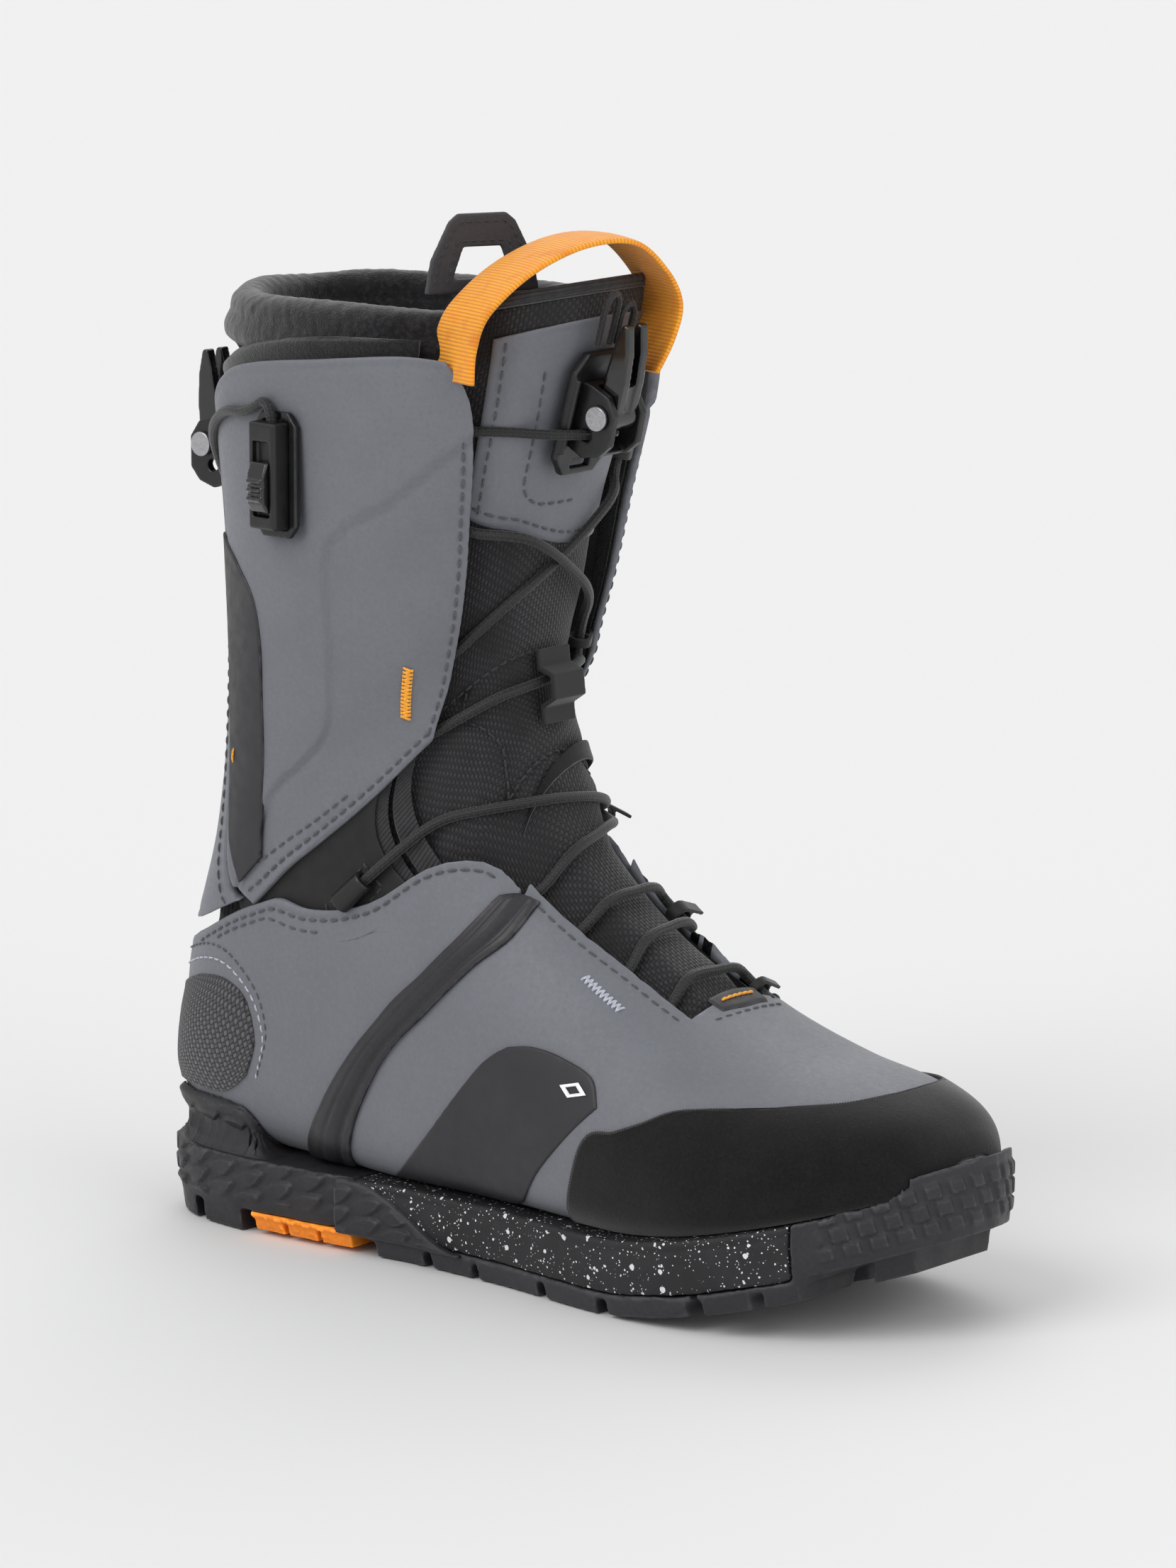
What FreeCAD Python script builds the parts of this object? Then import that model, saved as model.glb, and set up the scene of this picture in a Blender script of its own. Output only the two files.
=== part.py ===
import FreeCAD, Part
import math
import os

os.makedirs("parts", exist_ok=True)
Vector = FreeCAD.Vector

# ---------------------------------------------------------------- driving dimensions (mm)
ORIGIN_X = -1.75         # middle of the finished boot before centring
ORIGIN_Y = -6.7
SOLE_BACK = -158.0
SOLE_FRONT = 154.5
LUG_HEIGHT = 9.0
SOLE_TOP = 25.0          # feather line above the floor at the waist
TOE_SPRING = 24.0
SHELL_WALL = 3.0         # outer panels
SKIN_WALL = 1.2          # thin overlays
GAP = 0.3                # air between layers
LINING_WALL = 2.3
TONGUE_WALL = 3.0
TONGUE_SINK = 8.8        # tongue edge below the panel surface
LACE_RADIUS = 1.6
LINER_SIDE = 9.5         # liner outside, inward from the boot surface
LINER_FOAM = 6.0
LINER_TOP = 295.0
COLLAR_RADIUS = 5.0

# Boot sections from the toe tip to above the cuff: front x, front z, back x, back z, centre
# share, lateral half width, medial half width, front roundness, back roundness.
SECTIONS = [
    (152, 50, 152, 46, 0.50, 4, 4, 2.2, 2.2),
    (147, 61, 147, 45, 0.30, 22, 17, 2.3, 2.6),
    (137, 69, 137, 41, 0.20, 39, 30, 2.3, 3.0),
    (117, 75, 117, 35, 0.20, 52, 43, 2.3, 3.5),
    (90, 80, 92, 29, 0.22, 58, 50, 2.3, 4.0),
    (60, 92, 62, 23, 0.25, 58, 50, 2.2, 4.0),
    (26, 112, 28, 22, 0.26, 54, 47, 2.1, 4.0),
    (-1, 137, -15, 22, 0.27, 50, 46, 2.1, 3.6),
    (-12, 163, -72, 22, 0.33, 48, 46, 2.2, 3.2),
    (-17, 184, -148, 30, 0.45, 47, 46, 2.3, 2.6),
    (-17, 202, -153, 72, 0.50, 47, 46, 2.3, 2.4),
    (-13, 222, -140, 122, 0.50, 50, 48, 2.3, 2.2),
    (-8, 248, -133, 168, 0.50, 53, 51, 2.3, 2.2),
    (0, 276, -132, 220, 0.50, 56, 54, 2.3, 2.2),
    (9, 306, -136, 272, 0.50, 58, 56, 2.3, 2.2),
    (13, 326, -138, 296, 0.50, 58, 56, 2.3, 2.2),
    (17, 346, -140, 320, 0.50, 58, 56, 2.3, 2.2),
]

# Sole outline: x, lateral half width, medial half width.
OUTLINE = [
    (-158, 7, 7), (-157, 14, 14), (-155, 19.5, 19.5), (-150, 27, 27), (-144, 32.5, 32),
    (-134, 38, 37), (-115, 42.5, 41), (-80, 44, 41), (-40, 44, 39), (0, 49, 42), (40, 58, 50),
    (60, 61, 53), (75, 62, 54), (90, 61, 53.5), (105, 58, 51.5), (118, 53, 48), (127, 48, 44),
    (134, 42.5, 39.5), (141, 35, 33), (147, 26.5, 25), (151, 18.5, 17.5), (153.5, 11, 10.5),
    (154.5, 6, 6),
]

NODES = {}


# ---------------------------------------------------------------- number helpers
def spline(table, position):
    """Smooth row of a table at a fractional row number."""
    last = len(table) - 1
    row = min(max(int(position), 0), last - 1)
    t = position - row
    a = table[max(row - 1, 0)]
    b = table[row]
    c = table[row + 1]
    d = table[min(row + 2, last)]
    result = []
    for k in range(len(b)):
        k1 = c[k] - a[k]
        k2 = 2 * a[k] - 5 * b[k] + 4 * c[k] - d[k]
        k3 = 3 * b[k] - 3 * c[k] + d[k] - a[k]
        result.append(b[k] + 0.5 * (k1 * t + k2 * t ** 2 + k3 * t ** 3))
    return result


def table_at(table, x):
    """Straight interpolation of the second and later columns at x."""
    x = min(max(x, table[0][0]), table[-1][0])
    for low, high in zip(table, table[1:]):
        if x <= high[0]:
            share = (x - low[0]) / (high[0] - low[0])
            return [a + (b - a) * share for a, b in zip(low[1:], high[1:])]
    return list(table[-1][1:])


def smooth(low, high, value):
    t = min(max((value - low) / (high - low), 0.0), 1.0)
    return t * t * (3 - 2 * t)


# ---------------------------------------------------------------- the boot surface
def boot(u, s, off=0.0):
    """Point on the boot: u runs round (0 front, 0.25 lateral, 0.5 back), s counts sections."""
    fx, fz, bx, bz, share, lateral, medial, round_front, round_back = spline(SECTIONS, s)
    length = math.hypot(fx - bx, fz - bz)
    dx = (fx - bx) / length
    dz = (fz - bz) / length
    along = math.cos(2 * math.pi * u)
    across = math.sin(2 * math.pi * u)
    half = (1 - share) * length if along >= 0 else share * length
    power = round_front if along >= 0 else round_back
    width = lateral if across >= 0 else medial
    radius = (abs(along / half) ** power + abs(across / width) ** power) ** (-1 / power) + off
    cx = bx + share * (fx - bx)
    cz = bz + share * (fz - bz)
    return Vector(cx + radius * along * dx, -radius * across, cz + radius * along * dz)


def spring(x):
    """Rise of the toe above the floor."""
    return TOE_SPRING * max((x - 47.5) / 107.0, 0.0) ** 1.5


def feather(s, side=1, rise=0.5):
    """Where the section meets the top of the sole, as u."""
    low = 0.22
    high = 0.5
    end = boot(side * high, s)
    if end.z > SOLE_TOP + spring(end.x) + rise:
        return side * 0.5
    for step in range(30):
        mid = 0.5 * (low + high)
        point = boot(side * mid, s)
        if point.z > SOLE_TOP + spring(point.x) + rise:
            low = mid
        else:
            high = mid
    return side * low


# ---------------------------------------------------------------- solids from point grids
def skin(rows):
    surface = Part.BSplineSurface()
    surface.interpolate(rows)
    return surface.toShape()


def solid_between(outer_rows, inner_rows):
    """Closed solid between two grids of points of the same size."""
    outer = skin(outer_rows)
    inner = skin(inner_rows)
    faces = [outer, inner]
    for edge, mate in zip(outer.Edges, inner.Edges):
        faces.append(Part.makeRuledSurface(edge, mate, 1))
    shell = Part.Shell(faces)
    shell.sewShape()
    solid = Part.Solid(Part.Shell(shell.Faces))
    if solid.Volume < 0:
        solid.reverse()
    return solid


def side_points(side, count):
    """Evenly numbered points along a side given by a few (u, s) corners."""
    lengths = [0.0]
    for a, b in zip(side, side[1:]):
        lengths.append(lengths[-1] + math.hypot((b[0] - a[0]) * 25, b[1] - a[1]))
    points = []
    for k in range(count):
        want = lengths[-1] * k / (count - 1)
        row = 0
        while row < len(lengths) - 2 and lengths[row + 1] < want:
            row += 1
        share = (want - lengths[row]) / max(lengths[row + 1] - lengths[row], 1e-9)
        points.append(spline(side, row + min(share, 1.0)))
    return points


def patch(front, back, low, high, across=13, along=13):
    """Fill four sides, each a list of (u, s), with a grid of (u, s)."""
    front = side_points(front, along)
    back = side_points(back, along)
    low = side_points(low, across)
    high = side_points(high, across)
    grid = []
    for i in range(across):
        p = i / (across - 1)
        row = []
        for j in range(along):
            q = j / (along - 1)
            point = []
            for k in (0, 1):
                value = (1 - p) * front[j][k] + p * back[j][k]
                value += (1 - q) * low[i][k] + q * high[i][k]
                value -= (1 - p) * (1 - q) * front[0][k] + (1 - p) * q * front[-1][k]
                value -= p * (1 - q) * back[0][k] + p * q * back[-1][k]
                point.append(value)
            row.append(point)
        grid.append(row)
    return grid


def mirror_patch(grid):
    return [[(-u, s) for u, s in row] for row in grid]


def number(value, u, s):
    return value(u, s) if callable(value) else value


def panel(grid, outer, inner):
    """Panel on the boot between two offsets, given as numbers or functions of (u, s)."""
    outer_rows = [[boot(u, s, number(outer, u, s)) for u, s in row] for row in grid]
    inner_rows = [[boot(u, s, number(inner, u, s)) for u, s in row] for row in grid]
    return solid_between(outer_rows, inner_rows)


def check_solid(name, shape):
    if not shape.isValid():
        print("NOT VALID", name)
    if not shape.Solids or shape.Volume <= 0:
        print("NO SOLID", name)


def keep(name, shape):
    """Centre a finished piece on the frame and remember it."""
    shape = shape.copy()
    shape.translate(Vector(-ORIGIN_X, -ORIGIN_Y, 0))
    check_solid(name, shape)
    NODES[name] = shape


def fuse_all(shapes):
    result = shapes[0].multiFuse(shapes[1:]) if len(shapes) > 1 else shapes[0]
    return result.removeSplitter()


# ---------------------------------------------------------------- sole
def half_width(x, side):
    lateral, medial = table_at(OUTLINE, x)
    return -lateral if side > 0 else medial


def slab_wire(x, low, high, y_a, y_b, taper, bulge):
    """Section of a sole slab at x: flat below and above, sides bulging slightly."""
    a_low = Vector(x, y_a + taper, low)
    b_low = Vector(x, y_b - taper, low)
    a_high = Vector(x, y_a, high)
    b_high = Vector(x, y_b, high)
    middle = 0.5 * (low + high)
    a_mid = Vector(x, y_a + 0.5 * taper - bulge, middle)
    b_mid = Vector(x, y_b - 0.5 * taper + bulge, middle)
    edges = [
        Part.LineSegment(a_low, b_low).toShape(),
        Part.Arc(b_low, b_mid, b_high).toShape(),
        Part.LineSegment(b_high, a_high).toShape(),
        Part.Arc(a_high, a_mid, a_low).toShape(),
    ]
    return Part.Wire(edges)


def slab(stations, low, high, y_a, y_b, taper=1.0, bulge=0.6):
    """Loft along x; low, high, y_a and y_b are functions of x."""
    wires = []
    for x in stations:
        wires.append(slab_wire(x, low(x), high(x), y_a(x), y_b(x), taper, bulge))
    return Part.makeLoft(wires, True, False)


def steps(start, end, count):
    return [start + (end - start) * k / (count - 1) for k in range(count)]


def crowd(start, end, count):
    """Stations that close up toward the end, where the outline turns in."""
    return [start + (end - start) * math.sin(0.5 * math.pi * k / (count - 1)) for k in range(count)]


def lug(x0, x1, share_a, share_b, plate):
    """One tread block between two shares of the sole width, rooted in the plate above it."""
    def low(x):
        return spring(x)

    def top(x):
        return spring(x) + plate

    def y_a(x):
        return half_width(x, 1) + share_a * (half_width(x, -1) - half_width(x, 1)) + 1.0

    def y_b(x):
        return half_width(x, 1) + share_b * (half_width(x, -1) - half_width(x, 1)) - 1.0

    return slab(steps(x0, x1, 3), low, top, y_a, y_b, taper=1.6, bulge=0.2)


def sole_plate(stations, low, high, inset=0.0, taper=1.0):
    def y_a(x):
        return half_width(x, 1) + inset

    def y_b(x):
        return half_width(x, -1) - inset

    return slab(stations, low, high, y_a, y_b, taper)


def boot_block(stations, off):
    """Solid with the boot's own surface, moved out by off."""
    wires = []
    for s in stations:
        curve = Part.BSplineCurve()
        curve.interpolate([boot(k / 36, s, off) for k in range(36)], PeriodicFlag=True)
        wires.append(Part.Wire(curve.toShape()))
    return Part.makeLoft(wires, True, False)


def build_sole():
    plate_low = LUG_HEIGHT - 1.5

    def low(x):
        return plate_low + spring(x)

    def top(x):
        return SOLE_TOP + spring(x)

    heel_parts = [sole_plate(crowd(-62, SOLE_BACK, 13), low, top)]
    rows = [(-151, -136), (-131, -112)]
    for x0, x1 in rows:
        for a, b in ((0.0, 0.36), (0.40, 0.60), (0.64, 1.0)):
            heel_parts.append(lug(x0, x1, a, b, LUG_HEIGHT + 1))
    cup_low = [(feather(8.42) - 0.002, 8.42), (feather(8.56), 8.56), (0.44, 8.76), (0.5, 8.84)]
    cup_high = [(feather(8.42) - 0.014, 8.44), (0.400, 8.59), (0.430, 8.98), (0.452, 9.19), (0.5, 9.27)]
    for side in (1, -1):
        grid = patch([cup_low[0], cup_high[0]], [cup_low[-1], cup_high[-1]], cup_low, cup_high, 15, 5)
        if side < 0:
            grid = mirror_patch(grid)
        heel_parts.append(panel(grid, 3.4, GAP))
    keep("outsole_heel", fuse_all(heel_parts))

    shank = []
    for k in range(3):
        x0 = -106 + 14.5 * k
        shank.append(slab(steps(x0, x0 + 12.5, 3), lambda x: 1.2, lambda x: plate_low - GAP,
                          lambda x: half_width(x, 1) + 1.5, lambda x: half_width(x, -1) - 1.5, 1.5, 0.2))
    shank.append(sole_plate(steps(-107, -65, 4), lambda x: 5.2, lambda x: plate_low - GAP, inset=1.0))
    keep("shank_insert", fuse_all(shank))

    keep("midsole", sole_plate(steps(-61.6, 118, 15), low, top))

    fore_parts = []
    lug_low = LUG_HEIGHT - 2.5

    def fore_low(x):
        return lug_low - 1.5 + spring(x)

    def fore_top(x):
        return plate_low - GAP + spring(x)

    fore_parts.append(sole_plate(steps(-58, 86, 13), fore_low, fore_top, inset=1.2))
    for x0, x1 in ((-54, -34), (-30, -12), (-9, 19), (23, 47), (52, 84)):
        for a, b in ((0.0, 0.33), (0.37, 0.63), (0.67, 1.0)):
            fore_parts.append(lug(x0, x1, a, b, lug_low))
    keep("outsole_forefoot", fuse_all(fore_parts))

    def bumper_top(x):
        return top(x) + 6.0 * smooth(128, 145, x)

    toe_parts = [sole_plate(crowd(118.4, SOLE_FRONT, 13), low, bumper_top)]
    toe_parts.append(sole_plate(steps(88, 122, 5), fore_low, fore_top, inset=1.6))
    toe_parts.append(
        sole_plate(steps(118.8, 125, 3), lambda x: fore_low(x) + 0.8, lambda x: low(x) + 3, inset=6.0)
    )
    for x0, x1 in ((90, 106), (110, 120.5)):
        for a, b in ((0.0, 0.33), (0.37, 0.63), (0.67, 1.0)):
            toe_parts.append(lug(x0, x1, a, b, lug_low))
    toe_parts.append(lug(133, 143, 0.15, 0.85, LUG_HEIGHT))
    toe = fuse_all(toe_parts).cut(boot_block([0.3, 0.7, 1.2, 1.8, 2.6, 3.4, 4.2], GAP + SKIN_WALL + 0.9))
    keep("outsole_toe", toe)

    board = slab(
        steps(-126, 130, 15), lambda x: top(x) + GAP, lambda x: top(x) + GAP + 2.0,
        lambda x: half_width(x, 1) + 18 + 5 * smooth(30, 80, -x),
        lambda x: half_width(x, -1) - 17 - 5 * smooth(30, 80, -x), 0.0, 0.3,
    )
    keep("lasting_board", board)


# ---------------------------------------------------------------- shell panels
def edge_u(s):
    """Front edge of the lateral panels, as u."""
    return table_at(THROAT, s)[0]


THROAT = [
    (4.5, 0.072), (5.1, 0.070), (5.7, 0.060), (6.5, 0.057), (7.0, 0.055), (7.6, 0.066),
    (8.2, 0.085), (8.8, 0.075), (9.3, 0.063), (10.1, 0.063), (11.1, 0.074), (11.9, 0.083),
    (13.2, 0.103), (14.5, 0.115),
]


def crown(u, s):
    """Outside of the tongue: proud in the middle, sunk where the panels lie over it."""
    edge = edge_u(s)
    middle = 1 - smooth(edge - 0.040, edge + 0.004, abs(u))
    return -TONGUE_SINK + (TONGUE_SINK - 0.5) * middle * smooth(4.9, 5.5, s)


def flare(u, s):
    """The medial cuff stands away from the tongue toward its front edge."""
    return 11.0 * smooth(0.21, 0.07, abs(u)) * smooth(9.0, 9.9, s)


def feather_side(s_from, s_to, count=6):
    return [(feather(s), s) for s in steps(s_from, s_to, count)]


def build_lower_shell():
    toe_cap_line = [(0.205, 5.21), (0.188, 4.99), (0.173, 4.61), (0.164, 4.22), (0.149, 3.5),
                    (0.118, 2.82), (0.06, 2.52), (0.0, 2.46)]
    toe_side = [(feather(6.05), 6.05), (0.272, 5.71), (0.233, 5.44), (0.205, 5.21)]

    # front vamp: one piece round the toes, from the sole on one side to the other
    ring = []
    for i in range(23):
        row = []
        for j in range(15):
            s = 0.35 + (5.0 - 0.35) * (j / 14) ** 0.9
            end = feather(s)
            row.append((end * (1 - 2 * i / 22), s))
        ring.append(row)
    keep("vamp_front", panel(ring, 0.0, lambda u, s: -SHELL_WALL * smooth(0.0, 0.8, s) - 0.6))

    # toe cap over it
    cap_side = [(feather(s), s) for s in (0.5, 2.0, 3.0, 4.0, 5.0)]
    cap = patch(cap_side[:1] + [(0.12, 0.45), (0.0, 0.4)],
                [(feather(4.95), 4.95), (0.205, 4.93)] + toe_cap_line[1:],
                cap_side[:1] + [(feather(s), s) for s in (2.0, 3.0, 4.0, 4.95)],
                [(0.0, 0.4), (0.0, 1.3), (0.0, 2.46)], 13, 15)
    whole = cap_rows(cap)
    keep("toe_cap", panel(whole, GAP + SKIN_WALL, lambda u, s: GAP + 0.5 * smooth(2.0, 0.3, s)))

    band_front = [(0.062, 7.02), (0.092, 7.02), (0.126, 7.36), (0.174, 7.68), (0.247, 7.95),
                  (0.313, 8.05), (feather(8.1), 8.1)]
    vamp_front = [(0.070, 5.05), (0.19, 5.05), (0.25, 5.05), (feather(5.05), 5.05)]
    vamp_side = patch(vamp_front, band_front, [(edge_u(s), s) for s in (5.05, 5.7, 6.3, 7.02)],
                      feather_side(5.05, 8.1, 8), 23, 17)
    heel_front = [(u, s + 0.07) for u, s in band_front[:-1]] + [(feather(8.17), 8.17)]
    quarter_top = [(0.062, 7.09), (0.066, 7.6), (0.090, 8.19), (0.133, 8.51), (0.19, 8.95),
                   (0.25, 9.37), (0.31, 9.62), (0.40, 10.0), (0.45, 10.25), (0.499, 10.4)]
    quarter_low = [(feather(8.17), 8.17), (feather(8.4), 8.4), (0.458, 8.72), (0.499, 8.88)]
    quarter = patch(heel_front, [(0.499, 10.4), (0.499, 9.8), (0.499, 9.3), (0.499, 8.88)],
                    quarter_top, quarter_low, 21, 15)
    band = patch(
        [(0.061, 6.80), (0.066, 7.04), (0.075, 7.25)],
        [(feather(7.98, rise=3.0), 7.98), (feather(8.12, rise=3.0), 8.12), (feather(8.26, rise=3.0), 8.26)],
        [(0.061, 6.80), (0.092, 6.92), (0.126, 7.26), (0.174, 7.58), (0.247, 7.85),
         (feather(7.98, rise=3.0), 7.98)],
        [(0.075, 7.25), (0.108, 7.49), (0.143, 7.73), (0.190, 7.95), (0.257, 8.10),
         (0.320, 8.17), (feather(8.26, rise=3.0), 8.26)],
        33, 5,
    )
    side_patch = patch(
        [(0.187, 5.49), (0.219, 5.80), (0.263, 6.15), (0.309, 6.41), (feather(6.58, rise=1.8), 6.58)],
        [(0.166, 6.62), (0.189, 6.87), (0.236, 7.12), (0.291, 7.34), (feather(7.68, rise=1.8), 7.68)],
        [(0.187, 5.49), (0.164, 5.62), (0.157, 6.0), (0.158, 6.35), (0.166, 6.62)],
        [(feather(s, rise=1.8), s) for s in steps(6.58, 7.68, 5)], 13, 11,
    )
    heel_mesh = patch(
        [(0.372, 8.66), (0.340, 8.72), (0.327, 8.95), (0.350, 9.25), (0.402, 9.66)],
        [(0.499, 9.32), (0.499, 9.7), (0.499, 10.08)],
        [(0.372, 8.66), (0.403, 8.76), (0.432, 9.06), (0.455, 9.24), (0.499, 9.32)],
        [(0.402, 9.66), (0.45, 9.94), (0.499, 10.08)], 13, 11,
    )
    ankle = patch(
        [(0.104, 7.95), (0.104, 8.9), (0.100, 9.75)],
        [(0.30, 8.9), (0.33, 9.4), (0.36, 9.95)],
        [(0.104, 7.95), (0.16, 8.3), (0.23, 8.7), (0.30, 8.9)],
        [(0.100, 9.75), (0.16, 9.85), (0.26, 9.95), (0.36, 9.95)], 13, 11,
    )
    lining_out = -SHELL_WALL - GAP
    for side, name in ((1, "lateral"), (-1, "medial")):
        def place(grid):
            return grid if side > 0 else mirror_patch(grid)
        keep("vamp_side_" + name, panel(place(vamp_side), 0.0, -SHELL_WALL))
        keep("heel_quarter_" + name, panel(place(quarter), 0.0, -SHELL_WALL))
        keep("flex_band_" + name, panel(place(band), GAP + 2.4, GAP + 0.7))
        keep("side_patch_" + name, panel(place(side_patch), GAP + SKIN_WALL, GAP + 0.1))
        keep("ankle_panel_" + name, panel(place(ankle), lining_out, lining_out - LINING_WALL))
    mesh_row = heel_mesh[:-1] + [[(0.5, s) for u, s in heel_mesh[-1]]]
    mesh_row += [[(1 - u, s) for u, s in row] for row in reversed(heel_mesh[:-1])]
    keep("heel_panel", panel(mesh_row, GAP + SKIN_WALL, GAP))
    counter = patch([(0.36, 9.0), (0.34, 9.5)], [(0.64, 9.0), (0.66, 9.5)],
                    [(0.36, 9.0), (0.5, 9.15), (0.64, 9.0)], [(0.34, 9.5), (0.5, 9.6), (0.66, 9.5)], 17, 7)
    keep("heel_counter", panel(counter, lining_out, lining_out - 1.6))


def cap_rows(cap):
    """Mirror a half patch whose last column lies on the centre line."""
    rows = []
    for row in cap:
        half = list(row)
        rows.append(half + [(-u, s) for u, s in reversed(half[:-1])])
    return rows


def build_cuff():
    front = [(0.064, 9.32), (0.064, 10.08), (0.074, 11.06), (0.083, 11.89), (0.103, 13.2), (0.128, 13.76)]
    rear = [(0.312, 9.64), (0.354, 10.07), (0.376, 10.69), (0.389, 11.6), (0.400, 13.0), (0.418, 13.9)]
    low = [(0.064, 9.32), (0.103, 9.32), (0.173, 9.47), (0.242, 9.60), (0.312, 9.64)]
    high = [(0.128, 13.76), (0.17, 13.92), (0.25, 14.05), (0.34, 14.16), (0.385, 14.06), (0.418, 13.9)]
    cuff = patch(front, rear, low, high, 19, 19)
    keep("cuff_lateral", panel(cuff, 0.0, -SHELL_WALL))
    keep("cuff_medial", panel(mirror_patch(cuff), flare, lambda u, s: flare(u, s) - SHELL_WALL))
    printed = patch(
        [(0.300, 10.0), (0.310, 10.8), (0.320, 11.6), (0.330, 12.35), (0.360, 12.75), (0.392, 13.0)],
        [(0.338, 10.0), (0.369, 10.69), (0.383, 11.6), (0.390, 12.3), (0.395, 12.75), (0.398, 13.05)],
        [(0.300, 10.0), (0.338, 10.0)], [(0.392, 13.0), (0.398, 13.05)], 7, 15,
    )
    keep("print_panel_lateral", panel(printed, GAP + 0.9, GAP))
    keep("print_panel_medial", panel(mirror_patch(printed), GAP + 0.9, GAP))
    spine_side = [(0.345, 9.86), (0.364, 10.07), (0.384, 10.69), (0.397, 11.6), (0.408, 13.0), (0.426, 13.9)]
    spine = patch(spine_side, [(1 - u, s) for u, s in spine_side],
                  [(0.345, 9.86), (0.40, 10.12), (0.45, 10.40), (0.5, 10.54), (0.55, 10.40),
                   (0.60, 10.12), (0.655, 9.86)],
                  [(0.426, 13.9), (0.5, 13.9), (0.574, 13.9)], 17, 17)
    keep("rear_spine", panel(spine, 0.0, -SHELL_WALL))
    lining_out = -SHELL_WALL - GAP
    top = [(0.150, 14.05), (0.25, 14.32), (0.34, 14.42), (0.42, 14.25), (0.5, 14.2)]
    top += [(1 - u, s) for u, s in reversed(top[:-1])]
    lining = patch([(0.135, 10.1), (0.150, 12.0), (0.150, 14.05)],
                   [(0.865, 10.1), (0.850, 12.0), (0.850, 14.05)],
                   [(0.135, 10.1), (0.3, 10.2), (0.4, 10.45), (0.5, 10.75), (0.6, 10.45), (0.7, 10.2),
                    (0.865, 10.1)], top, 33, 13)
    keep("collar_lining", panel(lining, lining_out, lining_out - LINING_WALL))


def build_tongue():
    grid = []
    for i in range(21):
        row = []
        for j in range(41):
            s = 4.75 + (14.3 - 4.75) * j / 40
            reach = min(edge_u(s) + 0.028, 0.125)
            row.append((reach * (2 * i / 20 - 1), s))
        grid.append(row)
    keep("tongue", panel(grid, crown, lambda u, s: crown(u, s) - TONGUE_WALL))
    top_low = [(-0.078, 11.95), (-0.05, 11.5), (0.0, 11.35), (0.05, 11.72), (0.086, 12.15)]
    top_panel = patch([(-0.078, 11.95), (-0.088, 12.8), (-0.092, 13.9)],
                      [(0.086, 12.15), (0.090, 12.8), (0.092, 13.9)],
                      top_low, [(-0.092, 13.9), (0.0, 13.95), (0.092, 13.9)], 15, 13)
    keep("tongue_top_panel", panel(top_panel, lambda u, s: crown(u, s) + GAP + 0.9,
                                   lambda u, s: crown(u, s) + GAP))
    tape = patch([(-0.120, 14.33), (-0.120, 14.52)], [(0.120, 14.33), (0.120, 14.52)],
                 [(-0.120, 14.33), (0.0, 14.33), (0.120, 14.33)],
                 [(-0.120, 14.52), (0.0, 14.52), (0.120, 14.52)], 15, 4)
    keep("tongue_binding", panel(tape, lambda u, s: crown(u, s) + 1.0,
                                 lambda u, s: crown(u, s) - TONGUE_WALL - 1.0))
    strap = patch([(0.040, 7.45), (0.012, 7.80)], [(-0.088, 8.85), (-0.078, 9.35)],
                  [(0.040, 7.45), (-0.030, 8.0), (-0.088, 8.85)],
                  [(0.012, 7.80), (-0.045, 8.45), (-0.078, 9.35)], 13, 5)
    keep("instep_strap", panel(strap, lambda u, s: crown(u, s) + 0.8, lambda u, s: crown(u, s) + GAP))


# ---------------------------------------------------------------- laces and cords
def cord(points, radius, bend):
    """Round cord through corner points: straight runs joined by tangent arcs."""
    edges = []
    start = points[0]
    section = math.pi * radius * radius
    for before, corner, after in zip(points, points[1:], points[2:]):
        back = (before - corner).normalize()
        ahead = (after - corner).normalize()
        turn = math.pi - back.getAngle(ahead)
        if turn < 0.002:
            continue
        room = 0.46 * min((before - corner).Length, (after - corner).Length)
        setback = min(bend * math.tan(0.5 * turn), room)
        arc_radius = setback / math.tan(0.5 * turn)
        enter = corner + back * setback
        leave = corner + ahead * setback
        middle = (back + ahead).normalize()
        centre = corner + middle * math.hypot(arc_radius, setback)
        edges.append(Part.LineSegment(start, enter).toShape())
        edges.append(Part.Arc(enter, centre - middle * arc_radius, leave).toShape())
        start = leave
    edges.append(Part.LineSegment(start, points[-1]).toShape())
    path = Part.Wire(edges)
    direction = (points[1] - points[0]).normalize()
    profile = Part.Wire(Part.makeCircle(radius, points[0], direction))
    solid = path.makePipeShell([profile], True, False)
    if abs(solid.Volume / (section * path.Length) - 1) > 0.01:
        print("CORD VOLUME", solid.Volume, section * path.Length)
    print("cord length", round(path.Length, 1))
    return solid


def over_tongue(u, s, extra=0.0):
    """Centre of a lace lying on the tongue."""
    middle = (crown(u, s) + TONGUE_SINK) / (TONGUE_SINK - 0.5)
    rise = LACE_RADIUS + 1.0 + (1.2 + 1.0 * smooth(11.0, 11.6, s)) * middle
    return boot(u, s, crown(u, s) + rise + extra)


def section_at(u, height):
    """Section number where the boot reaches a height at u."""
    low = 4.6
    high = 16.0
    for step in range(30):
        middle = 0.5 * (low + high)
        if boot(u, middle).z < height:
            low = middle
        else:
            high = middle
    return low


def crossing(u0, s0, u1, s1, count, extra=0.0, lift=0.0):
    """Lace points over the tongue between two places, the last one raised into its loop."""
    points = []
    start = boot(u0, s0).z
    end = boot(u1, s1).z
    for k in range(count):
        share = k / (count - 1)
        u = u0 + (u1 - u0) * share
        height = start + (end - start) * share + LACE_ARCH * math.sin(math.pi * share)
        s = section_at(u, height)
        added = extra * math.sin(math.pi * share) ** 2 + lift * max(0.0, 3 * share - 2)
        points.append(over_tongue(u, s, added))
    return points


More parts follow.
